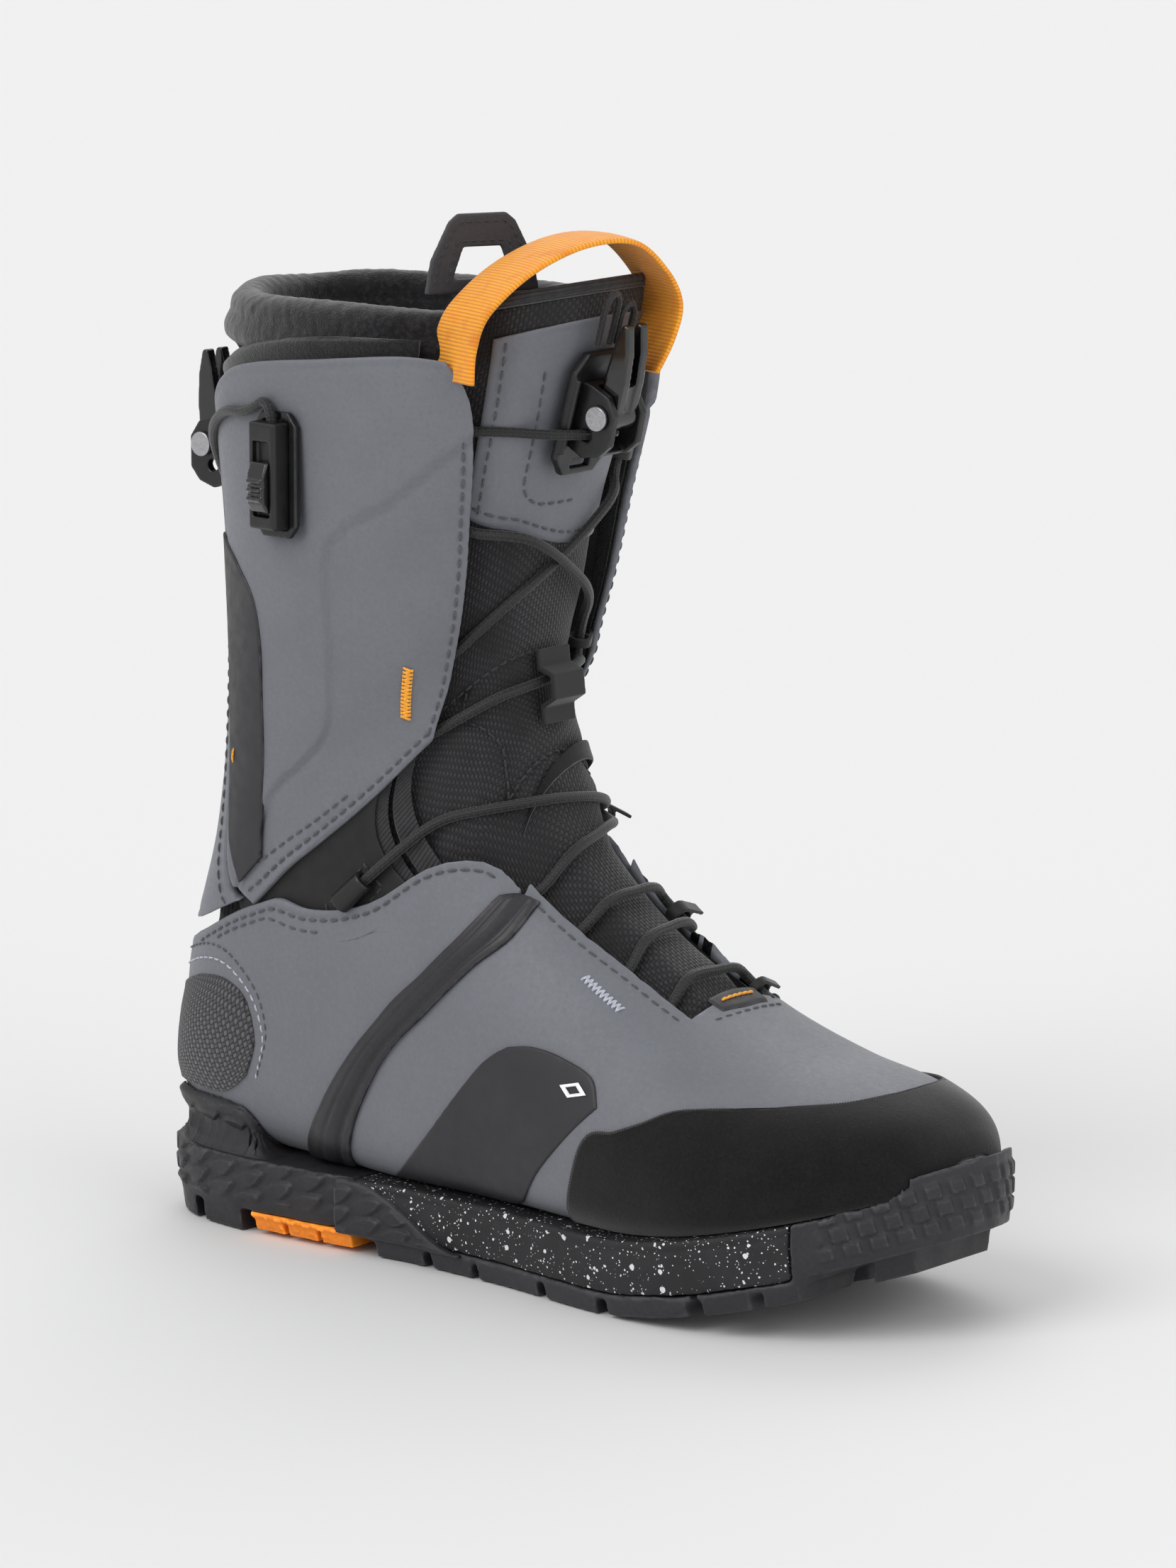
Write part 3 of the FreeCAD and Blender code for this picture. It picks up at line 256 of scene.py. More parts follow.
# ---------------------------------------------------------------- areas of the surface
class Area:
    """Four-sided area, each side a list of (u, s). p runs from front to back, q from low to high."""

    def __init__(self, front, back, low, high, side=1):
        self.sides = [np.array(x, float) for x in (front, back, low, high)]
        self.side = side

    @staticmethod
    def run(line, t):
        reach = np.concatenate(([0], np.cumsum(np.hypot(np.diff(line[:, 0]) * 25, np.diff(line[:, 1])))))
        want = reach[-1] * np.asarray(t, float)
        row = np.clip(np.searchsorted(reach, want, side="left") - 1, 0, len(line) - 2)
        share = np.clip((want - reach[row]) / np.maximum(reach[row + 1] - reach[row], 1e-9), 0, 1)
        return rows_at(line, row + share)

    def us(self, p, q):
        p, q = np.broadcast_arrays(np.asarray(p, float), np.asarray(q, float))
        front, back, low, high = self.sides
        a = p[..., None]
        b = q[..., None]
        value = (1 - a) * self.run(front, q) + a * self.run(back, q)
        value = value + (1 - b) * self.run(low, p) + b * self.run(high, p)
        value = value - (1 - a) * (1 - b) * front[0] - (1 - a) * b * front[-1]
        value = value - a * (1 - b) * back[0] - a * b * back[-1]
        return value * np.array((self.side, 1))

    def size(self):
        t = np.linspace(0, 1, 40)
        a = self.us(t, 0.5)
        b = self.us(0.5, t)
        return length_of(boot(a[:, 0], a[:, 1])), length_of(boot(b[:, 0], b[:, 1]))

    def border(self, name, inset=0.0, start=0.0, end=1.0, count=80):
        """(u, s) line that follows one side, inset by some mm."""
        t = np.linspace(start, end, count)
        small = 0.01
        fixed = {"front": 0, "back": 1, "low": 0, "high": 1}[name]
        inward = 1 if fixed == 0 else -1
        lengthwise = name in ("front", "back")

        def place(depth):
            return self.us(fixed + inward * depth, t) if lengthwise else self.us(t, fixed + inward * depth)

        a = place(0.0)
        b = place(small)
        per_share = np.linalg.norm(boot(b[:, 0], b[:, 1]) - boot(a[:, 0], a[:, 1]), axis=1) / small
        return place(inset / np.maximum(per_share, 1e-6))


def fine_lines(length, step):
    """Shares of a length, closer together near both ends."""
    edge = np.array((0, 0.25, 0.6, 1.1, 1.9, 2.5, 2.9, 3.3, 4.1))
    if length < 2 * edge[-1] + step:
        return np.linspace(0, 1, max(int(length / 0.8), 4))
    inner = np.linspace(edge[-1], length - edge[-1], max(int((length - 2 * edge[-1]) / step), 1) + 1)[1:-1]
    return np.concatenate((edge, inner, length - edge[::-1])) / length


def grid_faces(n, m, start=0):
    a = np.arange(n * m).reshape(n, m) + start
    return np.stack((a[:-1, :-1], a[1:, :-1], a[1:, 1:], a[:-1, 1:]), -1).reshape(-1, 4)


def rim(n, m):
    a = np.arange(n * m).reshape(n, m)
    return np.concatenate((a[:, 0], a[-1, 1:], a[-2::-1, -1], a[0, -2:0:-1]))


def near(points, line):
    """Distance in mm from every point to a line of points."""
    flat = points.reshape(-1, 3)
    line = np.asarray(line)
    result = np.empty(len(flat))
    for k in range(0, len(flat), 4000):
        part = flat[k:k + 4000]
        result[k:k + 4000] = np.sqrt(((part[:, None] - line[None]) ** 2).sum(-1).min(1))
    return result.reshape(points.shape[:-1])


def edge_drop(depth, radius, height):
    """How far a surface falls toward a rounded edge."""
    lip = np.clip(depth / radius, 0, 1)
    return height * (1 - np.sqrt(1 - (1 - lip) ** 2))


def closed_grid(outside, inside):
    """Points, quads, side of every quad and UV of two grid skins joined round their rim."""
    n, m = outside.shape[:2]
    count = n * m
    loop = rim(n, m)
    turn = np.roll(loop, -1)
    walls = np.stack((loop, turn, turn + count, loop + count), -1)
    outer = grid_faces(n, m)
    faces = np.concatenate((outer, grid_faces(n, m, count)[:, ::-1], walls))
    kinds = np.repeat((0, 1, 0), (len(outer), len(outer), len(walls)))
    points = np.concatenate((outside.reshape(-1, 3), inside.reshape(-1, 3)))
    uv = np.concatenate((arc_uv(outside).reshape(-1, 2), arc_uv(inside).reshape(-1, 2)))
    return points, faces, kinds, uv


def on_surface(line, off=0.0):
    return boot(line[:, 0], line[:, 1], off)


# ---------------------------------------------------------------- making pieces
def place_in_scene(name, mesh, materials, body, replaces):
    piece = bpy.data.objects.new(name, mesh)
    bpy.context.scene.collection.objects.link(piece)
    for material in materials:
        mesh.materials.append(material)
    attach(piece, body)
    if replaces:
        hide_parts(*replaces)
    return piece


def make_piece(name, points, faces, materials, replaces=(), uv=None, face_material=None):
    """Smooth mesh piece on the boot from points in mm, its seams merged and its normals outward."""
    mesh = bpy.data.meshes.new(name)
    world = (np.asarray(points, float).reshape(-1, 3) + SHIFT) * MM
    mesh.from_pydata(world.tolist(), [], faces if isinstance(faces, list) else faces.tolist())
    if uv is not None:
        layer = mesh.uv_layers.new(name="UVMap")
        corners = np.empty(len(mesh.loops), np.int32)
        mesh.loops.foreach_get("vertex_index", corners)
        corner_uv = uv.reshape(-1, 2)[corners] * MM
        layer.data.foreach_set("uv", corner_uv.astype(np.float32).ravel())
    if face_material is not None:
        mesh.polygons.foreach_set("material_index", np.asarray(face_material, np.int32))
    tidy_mesh(mesh)
    return place_in_scene(name, mesh, materials, "boot", replaces)


def tidy_mesh(mesh):
    work = bmesh.new()
    work.from_mesh(mesh)
    bmesh.ops.remove_doubles(work, verts=work.verts, dist=2e-6)
    bmesh.ops.recalc_face_normals(work, faces=work.faces)
    for face in work.faces:
        face.smooth = True
    work.to_mesh(mesh)
    work.free()


def arc_uv(points):
    """UV in mm from the lengths of the grid's own lines."""
    a = np.linalg.norm(np.diff(points, axis=0), axis=-1)
    b = np.linalg.norm(np.diff(points, axis=1), axis=-1)
    x = np.concatenate((np.zeros((1, points.shape[1])), np.cumsum(a, 0)))
    y = np.concatenate((np.zeros((points.shape[0], 1)), np.cumsum(b, 1)), 1)
    x = x - x[points.shape[0] // 2]
    return np.stack((x, np.broadcast_to(y.mean(0), y.shape)), -1)


def value_of(thing, u, s):
    return thing(u, s) if callable(thing) else np.full(u.shape, float(thing))


def sheet(name, area, outer, wall, materials, replaces=(), step=3.0, relief=None, edges=None,
          edge_round=EDGE_ROUND, seam=SEAM_INSET, seam_depth=0.28, p_lines=None, q_lines=None, uneven=0.25):
    """Panel on the boot with rounded edges, a sunk stitching line and its own relief."""
    long_p, long_q = area.size()
    p = fine_lines(long_p, step) if p_lines is None else p_lines
    q = fine_lines(long_q, step) if q_lines is None else q_lines
    us = area.us(p[:, None], q[None, :])
    u = us[..., 0]
    s = us[..., 1]
    off = value_of(outer, u, s)
    flat = boot(u, s, off)
    if edges is None:
        lines = [area.border(side, 0.0, count=220) for side in ("front", "back", "low", "high")]
        edges = np.concatenate([boot(x[:, 0], x[:, 1], value_of(outer, x[:, 0], x[:, 1])) for x in lines])
    depth = near(flat, edges)
    top = off - edge_drop(depth, edge_round, edge_round)
    if seam:
        top = top - seam_depth * bell(depth - seam, 0.75)
    top = top + uneven * ripple(flat, 45.0, seed=len(name)) * smooth(0, 12, depth)
    if relief is not None:
        top = top + relief(u, s, flat, depth)
    outside = boot(u, s, top)
    inside = boot(u, s, off - wall)
    points, faces, kinds, uv = closed_grid(outside, inside)
    if len(materials) == 1:
        kinds = None
    return make_piece(name, points, faces, materials, replaces, uv, kinds)


# ---------------------------------------------------------------- thread
STITCH_X = np.array((-0.5, -0.46, -0.25, 0.0, 0.25, 0.46, 0.5))
STITCH_R = np.array((0.15, 0.75, 1.0, 1.0, 1.0, 0.75, 0.15))
STITCH_H = np.array((-0.55, -0.25, 0.25, 0.4, 0.25, -0.25, -0.55))
STITCH_SIDES = 6
THREADS = {}


def add_stitches(kind, centres, along, normal, length, radius):
    """Small crowned capsules of thread, one at each centre."""
    side = unit(np.cross(normal, along))
    angle = np.arange(STITCH_SIDES) * 2 * math.pi / STITCH_SIDES
    ring_out = (STITCH_R[:, None] * np.cos(angle) * radius) + (STITCH_H * radius * 1.2)[:, None]
    ring_side = STITCH_R[:, None] * np.sin(angle) * radius
    points = centres[:, None, None] + along[:, None, None] * (STITCH_X * length)[None, :, None, None]
    points = points + normal[:, None, None] * ring_out[None, :, :, None]
    points = points + side[:, None, None] * ring_side[None, :, :, None]
    THREADS.setdefault(kind, []).append(points.reshape(len(centres), -1, 3))


def stitch_line(line, off=0.0, kind="grey", pitch=STITCH_PITCH, length=STITCH_LENGTH, radius=THREAD_RADIUS):
    """Stitches along a (u, s) line on the boot."""
    line = np.asarray(line, float)
    fine = np.stack([np.interp(np.linspace(0, 1, 600), np.linspace(0, 1, len(line)), line[:, k])
                     for k in (0, 1)], -1)
    lift = value_of(off, fine[:, 0], fine[:, 1])
    joined = np.concatenate((boot(fine[:, 0], fine[:, 1], lift), fine), 1)
    steps = np.linalg.norm(np.diff(joined[:, :3], axis=0), axis=1)
    reach = np.concatenate(([0], np.cumsum(steps)))
    count = max(int(reach[-1] / pitch), 2)
    want = (np.arange(count) + 0.5) * reach[-1] / count
    at = np.stack([np.interp(want, reach, joined[:, k]) for k in range(5)], -1)
    ahead = np.stack([np.interp(want + 0.6, reach, joined[:, k]) for k in range(3)], -1)
    behind = np.stack([np.interp(want - 0.6, reach, joined[:, k]) for k in range(3)], -1)
    normal = normals_at(at[:, 3], at[:, 4])
    add_stitches(kind, at[:, :3], unit(ahead - behind), normal, length, radius)


def free_stitches(line, normal, kind="black", pitch=3.2, length=2.4, radius=0.32):
    """Stitches along points in mm with one normal, or one for each point."""
    line = np.asarray(line, float)
    count = max(int(length_of(line) / pitch), 2)
    even = resample(line, 4 * count + 1)
    at = even[2::4]
    along = unit(even[3::4] - even[1::4])
    normal = np.broadcast_to(unit(np.asarray(normal, float)), at.shape)
    add_stitches(kind, at, along, normal, length, radius)


def bar_tack(start, end, width, kind, off, count):
    """Dense zigzag of thread between two (u, s) places."""
    start = np.array(start)
    end = np.array(end)
    t = (np.arange(count) / (count - 1))[:, None]
    us = start + (end - start) * t
    at = boot(us[:, 0], us[:, 1], off)
    normal = normals_at(us[:, 0], us[:, 1])
    along = unit(at[-1] - at[0])
    side = unit(np.cross(normal, along))
    slant = np.where(np.arange(count)[:, None] % 2 == 0, 0.35, -0.35)
    add_stitches(kind, at, unit(side + along * slant), normal, width, 0.46)


def make_threads(materials):
    for kind, groups in THREADS.items():
        points = np.concatenate(groups)
        stitches, each = points.shape[:2]
        rings = len(STITCH_X)
        base = []
        for ring in range(rings - 1):
            for k in range(STITCH_SIDES):
                after = (k + 1) % STITCH_SIDES
                base.append((ring * STITCH_SIDES + k, ring * STITCH_SIDES + after,
                             (ring + 1) * STITCH_SIDES + after, (ring + 1) * STITCH_SIDES + k))
        faces = (np.array(base)[None] + (np.arange(stitches) * each)[:, None, None]).reshape(-1, 4)
        make_piece("stitching_" + kind, points.reshape(-1, 3), faces, [materials[kind]])


# ---------------------------------------------------------------- materials
class Surface:
    """Principled material with its own small set of procedural layers."""

    def __init__(self, name, colour, rough, sheen=0.0, coat=0.0, metal=0.0, specular=0.5, coat_rough=0.1):
        self.material = bpy.data.materials.new(name)
        self.material.use_nodes = True
        self.tree = self.material.node_tree
        self.shader = self.tree.nodes["Principled BSDF"]
        self.colour = colour
        values = {"Base Color": (*colour, 1), "Roughness": rough, "Sheen Weight": sheen, "Coat Weight": coat,
                  "Metallic": metal, "Specular IOR Level": specular, "Coat Roughness": coat_rough,
                  "Sheen Roughness": 0.45}
        for key, value in values.items():
            self.shader.inputs[key].default_value = value
        self.place = self.add("ShaderNodeTexCoord").outputs
        self.normal = None

    def add(self, kind, inputs=None, **settings):
        node = self.tree.nodes.new(kind)
        for key, value in settings.items():
            setattr(node, key, value)
        for key, value in (inputs or {}).items():
            socket = node.inputs[key]
            if isinstance(value, bpy.types.NodeSocket):
                self.tree.links.new(value, socket)
            else:
                socket.default_value = value
        return node

    def math(self, operation, a, b=0.0):
        return self.add("ShaderNodeMath", {0: a, 1: b}, operation=operation).outputs[0]

    def noise(self, scale, detail=3.0, rough=0.55, uv=False):
        where = self.place["UV" if uv else "Object"]
        return self.add("ShaderNodeTexNoise", {"Vector": where, "Scale": scale, "Detail": detail,
                                               "Roughness": rough}).outputs["Fac"]

    def cells(self, scale, uv=False, random=1.0, feature="F1"):
        where = self.place["UV" if uv else "Object"]
        return self.add("ShaderNodeTexVoronoi", {"Vector": where, "Scale": scale, "Randomness": random},
                        feature=feature)

    def ramp(self, value, low, high, first=0.0, last=1.0):
        return self.add("ShaderNodeMapRange", {"Value": value, "From Min": low, "From Max": high,
                                               "To Min": first, "To Max": last}).outputs["Result"]

    def tint(self, share, other):
        """Mix another colour over what is there by a share socket."""
        mix = self.add("ShaderNodeMix", {"Factor": share}, data_type="RGBA")
        before = self.shader.inputs["Base Color"]
        if before.is_linked:
            self.tree.links.new(before.links[0].from_socket, mix.inputs[6])
        else:
            mix.inputs[6].default_value = before.default_value[:]
        mix.inputs[7].default_value = (*other, 1)
        self.tree.links.new(mix.outputs[2], before)
        return self

    def bump(self, height, distance, strength=1.0):
        inputs = {"Height": height, "Distance": distance * MM, "Strength": strength}
        if self.normal is not None:
            inputs["Normal"] = self.normal
        self.normal = self.add("ShaderNodeBump", inputs).outputs["Normal"]
        self.tree.links.new(self.normal, self.shader.inputs["Normal"])
        return self

    def vary(self, amount, scale=60.0):
        """Soft mottling of the colour, lighter and darker."""
        patch = self.noise(scale, 4.0)
        darker = tuple(c * (1 - amount) for c in self.colour)
        lighter = tuple(min(c * (1 + amount) + 0.002, 1) for c in self.colour)
        self.tint(self.ramp(patch, 0.50, 0.30), darker)
        self.tint(self.ramp(patch, 0.50, 0.72), lighter)
        return self

    def roughness(self, low, high, scale=200.0):
        spread = self.ramp(self.noise(scale), 0.3, 0.7, low, high)
        self.tree.links.new(spread, self.shader.inputs["Roughness"])
        return self

    def wear(self, colour, amount=0.6, start=0.515, end=0.56):
        """Rubbed edges, a little lighter."""
        point = self.add("ShaderNodeNewGeometry").outputs["Pointiness"]
        rubbed = self.math("MULTIPLY", self.ramp(point, start, end), self.ramp(self.noise(300), 0.35, 0.6))
        self.tint(self.math("MULTIPLY", rubbed, amount), colour)
        return self

    def waves(self, pitch, axis, sharp=1.0):
        """Height of round ribs across one UV direction, 0 to 1."""
        part = self.add("ShaderNodeSeparateXYZ", {"Vector": self.place["UV"]}).outputs[axis]
        turn = self.math("SINE", self.math("MULTIPLY", part, math.pi / (pitch * MM)))
        return self.math("POWER", self.math("ABSOLUTE", turn), sharp)

    def weave(self, pitch, stretch=1.0):
        """Plain weave of fat yarns: height over the UV plane."""
        scale = (1 / (pitch * MM), stretch / (pitch * MM), 1)
        scaled = self.add("ShaderNodeMapping", {"Vector": self.place["UV"], "Scale": scale}).outputs[0]
        check = self.add("ShaderNodeTexChecker", {"Vector": scaled, "Scale": 1.0}).outputs["Fac"]
        over = self.waves(pitch, 0, 0.6)
        under = self.waves(pitch / stretch, 1, 0.6)
        warp = self.math("MULTIPLY", over, self.math("ADD", self.math("MULTIPLY", under, 0.45), 0.55))
        weft = self.math("MULTIPLY", under, self.math("ADD", self.math("MULTIPLY", over, 0.45), 0.2))
        mix = self.add("ShaderNodeMix", {"Factor": check, 2: warp, 3: weft}, data_type="FLOAT")
        return mix.outputs[0]


def leather(name, colour, rough=0.52):
    made = Surface(name, colour, rough, sheen=0.12, specular=0.35)
    made.vary(0.07, 35)
    made.vary(0.05, 700)
    made.roughness(rough - 0.06, rough + 0.10, 500)
    made.wear(tuple(min(c * 1.5 + 0.02, 1) for c in colour), 0.5)
    made.bump(made.cells(1500).outputs["Distance"], 0.10, 0.35)
    made.bump(made.noise(3200, 2), 0.06, 0.5)
    return made.material


def suede(name, colour):
    made = Surface(name, colour, 0.9, sheen=0.35, specular=0.15)
    made.vary(0.25, 90)
    made.vary(0.35, 1100)
    made.bump(made.noise(260, 4), 0.30, 0.25)
    made.bump(made.noise(2400, 3), 0.16, 0.8)
    return made.material


def film(name, colour, rough):
    made = Surface(name, colour, rough, specular=0.4)
    made.vary(0.10, 50)
    made.roughness(rough - 0.07, rough + 0.08, 220)
    made.wear(tuple(c * 2 + 0.03 for c in colour), 0.5)
    made.bump(made.cells(2600).outputs["Distance"], 0.05, 0.3)
    return made.material


def rubber(name, colour, rough=0.55):
    made = Surface(name, colour, rough, specular=0.4)
    made.vary(0.15, 60)
    made.vary(0.12, 900)
    made.roughness(rough - 0.10, rough + 0.10, 150)
    made.wear(tuple(c * 2.2 + 0.03 for c in colour), 0.7)
    made.bump(made.noise(1500, 4), 0.10, 0.45)
    return made.material


def speckled_foam(name, colour, fleck):
    made = Surface(name, colour, 0.6, specular=0.4)
    made.vary(0.2, 80)
    where = made.place["Object"]
    shake = made.add("ShaderNodeTexNoise", {"Vector": where, "Scale": 900.0, "Detail": 2.0}).outputs["Color"]
    moved = made.add("ShaderNodeMixRGB", {"Fac": 0.0007, "Color1": where, "Color2": shake}).outputs[0]
    for scale, share, size in ((260.0, 0.42, 0.27), (620.0, 0.40, 0.30), (1100.0, 0.30, 0.30)):
        spot = made.add("ShaderNodeTexVoronoi", {"Vector": moved, "Scale": scale, "Randomness": 1.0})
        pick = made.add("ShaderNodeSeparateColor", {"Color": spot.outputs["Color"]}).outputs
        chosen = made.math("LESS_THAN", pick[0], share)
        wide = made.math("MULTIPLY", made.math("ADD", made.math("MULTIPLY", pick[1], 0.75), 0.25), size)
        inside = made.math("LESS_THAN", spot.outputs["Distance"], wide)
        made.tint(made.math("MULTIPLY", inside, chosen), fleck)
    made.bump(made.cells(900).outputs["Distance"], 0.15, 0.5)
    return made.material


def ballistic(name, dark, light, pitch):
    made = Surface(name, dark, 0.7, sheen=0.25, specular=0.35)
    height = made.weave(pitch)
    # painted highlight on the raised yarns: the lighter colour follows the weave height, with painted shade
    # where the yarns dip
    made.tint(made.ramp(height, 0.35, 0.95), light)
    made.vary(0.2, 40)
    made.bump(height, 0.35, 0.9)
    made.bump(made.noise(3000, 2), 0.05, 0.5)
    return made.material


def knit(name, dark, light, pitch, stretch):
    made = Surface(name, dark, 0.65, sheen=0.2, specular=0.4)
    height = made.weave(pitch, stretch)
    # painted highlight on the raised knit bumps, with painted shade where they dip
    made.tint(made.ramp(height, 0.30, 0.9), light)
    made.bump(height, 0.7, 1.0)
    made.bump(made.noise(2500, 2), 0.08, 0.6)
    return made.material


def webbing(name, colour, light, pitch, axis=1):
    made = Surface(name, colour, 0.6, sheen=0.25, specular=0.4)
    rib = made.waves(pitch, axis, 0.7)
    yarn = made.waves(pitch * 0.55, 1 - axis, 1.0)
    # painted highlight along the crest of each rib, with painted shade in the grooves
    made.tint(made.ramp(rib, 0.3, 1.0, 0.0, 0.75), light)
    made.vary(0.05, 120)
    made.bump(rib, 0.30, 0.9)
    made.bump(yarn, 0.08, 0.6)
    return made.material


def cord_skin(name, dark, light):
    made = Surface(name, dark, 0.5, sheen=0.2, specular=0.5)
    braid = made.weave(1.05)
    # painted highlight on the crest of each braid strand
    made.tint(made.ramp(braid, 0.4, 1.0, 0.0, 0.8), light)
    made.bump(braid, 0.22, 0.9)
    return made.material


def spacer_mesh(name, dark, light, scale):
    made = Surface(name, light, 0.75, sheen=0.25, specular=0.3)
    hole = made.cells(scale, random=0.35).outputs["Distance"]
    # painted shade: the holes of the mesh are mixed toward the dark colour
    made.tint(made.ramp(hole, 0.34, 0.12), dark)
    made.vary(0.15, 60)
    made.bump(hole, 0.8, 0.8)
    made.bump(made.noise(2600, 2), 0.08, 0.6)
    return made.material


def pile(name, colour, light):
    made = Surface(name, colour, 0.95, sheen=0.6, specular=0.1)
    made.tint(made.ramp(made.noise(700, 4), 0.42, 0.68), light)
    made.vary(0.2, 90)
    made.bump(made.noise(900, 5, 0.7), 0.6, 0.5)
    made.bump(made.noise(2200, 3), 0.3, 0.8)
    return made.material


def moulded(name, colour, rough, coat=0.0):
    made = Surface(name, colour, rough, coat=coat, specular=0.5, coat_rough=0.08)
    made.vary(0.2, 120)
    made.roughness(max(rough - 0.05, 0.05), rough + 0.10, 260)
    made.wear(tuple(c * 2.5 + 0.03 for c in colour), 0.5)
    made.bump(made.noise(1800, 3), 0.03, 0.5)
    return made.material


def steel(name):
    made = Surface(name, (0.42, 0.42, 0.44), 0.3, metal=1.0)
    made.roughness(0.22, 0.42, 900)
    made.vary(0.12, 800)
    made.bump(made.noise(2400, 2), 0.02, 0.5)
    return made.material


def thread(name, colour):
    made = Surface(name, colour, 0.6, sheen=0.3, specular=0.4)
    twist = made.noise(2600, 2)
    made.tint(made.ramp(twist, 0.40, 0.70), tuple(min(c * 2.0 + 0.02, 1) for c in colour))
    made.bump(twist, 0.12, 0.8)
    return made.material


GREY = leather("grey_synthetic", (0.150, 0.157, 0.178))
BACKING = pile("panel_backing", (0.012, 0.012, 0.013), (0.03, 0.03, 0.032))
SUEDE = suede("black_suede", (0.0062, 0.0055, 0.0062))
PATCH = film("black_smooth", (0.024, 0.023, 0.026), 0.46)
BAND = rubber("band_rubber", (0.022, 0.021, 0.024), 0.42)
RUBBER = rubber("black_rubber", (0.021, 0.020, 0.023), 0.52)
LUG_RUBBER = rubber("lug_rubber", (0.028, 0.028, 0.033), 0.58)
FOAM = speckled_foam("speckled_midsole", (0.015, 0.0145, 0.0165), (0.72, 0.72, 0.74))
ORANGE = rubber("orange_rubber", (0.90, 0.26, 0.012), 0.5)
# the second colour of the tongue weave is a painted highlight on its raised yarns
TONGUE = ballistic("tongue_weave", (0.003, 0.0026, 0.0034), (0.036, 0.032, 0.038), 1.45)
ANKLE = film("ankle_textile", (0.0085, 0.0078, 0.0088), 0.6)
# the second colour of the heel knit is a painted highlight on its raised bumps
HEEL_KNIT = knit("heel_knit", (0.010, 0.010, 0.012), (0.105, 0.103, 0.112), 2.1, 1.6)
# the second colour of the black tape is a painted highlight on its ribs
TAPE = webbing("black_tape", (0.008, 0.008, 0.009), (0.035, 0.034, 0.038), 1.5)
VELVET = suede("black_velvet", (0.007, 0.007, 0.0075))
# the second colour of the orange webbing is a painted highlight on its ribs
STRAP = webbing("orange_webbing", (0.92, 0.29, 0.006), (1.0, 0.48, 0.024), 1.25)
LINING = pile("dark_lining", (0.009, 0.009, 0.010), (0.022, 0.022, 0.024))
# the first colour of the liner mesh is painted shade in its holes
MESH = spacer_mesh("liner_mesh", (0.002, 0.002, 0.002), (0.030, 0.029, 0.032), 420)
FLEECE = pile("liner_fleece", (0.007, 0.0065, 0.0075), (0.026, 0.024, 0.027))
TAB = leather("charcoal_tab", (0.036, 0.034, 0.039), 0.6)
MATTE = moulded("matte_black_plastic", (0.0060, 0.0060, 0.0068), 0.36)
GLOSS = moulded("gloss_black_plastic", (0.0040, 0.0040, 0.0046), 0.16, coat=0.4)
STEEL = steel("steel_pin")
# the second colour of the lace is a painted highlight on its braid
LACE = cord_skin("black_lace", (0.003, 0.003, 0.0034), (0.017, 0.016, 0.018))
BOARD = pile("felt_board", (0.05, 0.05, 0.052), (0.10, 0.10, 0.105))
WHITE = film("white_mark", (0.75, 0.75, 0.76), 0.5)
THREAD_SKINS = {
    "grey": thread("grey_thread", (0.050, 0.051, 0.058)),
    "black": thread("black_thread", (0.012, 0.012, 0.013)),
    "orange": thread("orange_thread", (0.85, 0.28, 0.015)),
    "pale": thread("pale_thread", (0.34, 0.35, 0.40)),
}


# ---------------------------------------------------------------- vamp
def side_of(name):
    return 1 if name == "lateral" else -1


def mirrored(line, side):
    return np.asarray(line, float) * np.array((side, 1))


BAND_FRONT = [(0.062, 7.02), (0.092, 7.02), (0.126, 7.36), (0.174, 7.68), (0.247, 7.95),
              (0.313, 8.05), (feather_one(8.1), 8.1)]
QUARTER_TOP = [(0.062, 7.09), (0.066, 7.6), (0.090, 8.19), (0.133, 8.51), (0.19, 8.95),
               (0.25, 9.37), (0.31, 9.62), (0.40, 10.0), (0.45, 10.25), (0.499, 10.4)]


def vamp_area(side):
    front = [(0.070, 5.05), (0.19, 5.05), (0.25, 5.05), (feather_one(5.05), 5.05)]
    low = [(edge_u(s), s) for s in (5.05, 5.7, 6.3, 7.02)]
    high = [(feather_one(s), s) for s in np.linspace(5.05, 8.1, 8)]
    return Area(front, BAND_FRONT, low, high, side)


def throat_line():
    """Edge of the vamp round the bottom of the tongue, with rounded corners, as (u, s)."""
    upper = [(edge_u(s), s) for s in np.linspace(7.02, 5.35, 12)]
    corner = [(0.067, 5.18), (0.058, 5.07)]
    half = np.array(upper + corner)
    return np.concatenate((half, [(0.0, 5.03)], mirrored(half, -1)[::-1]))


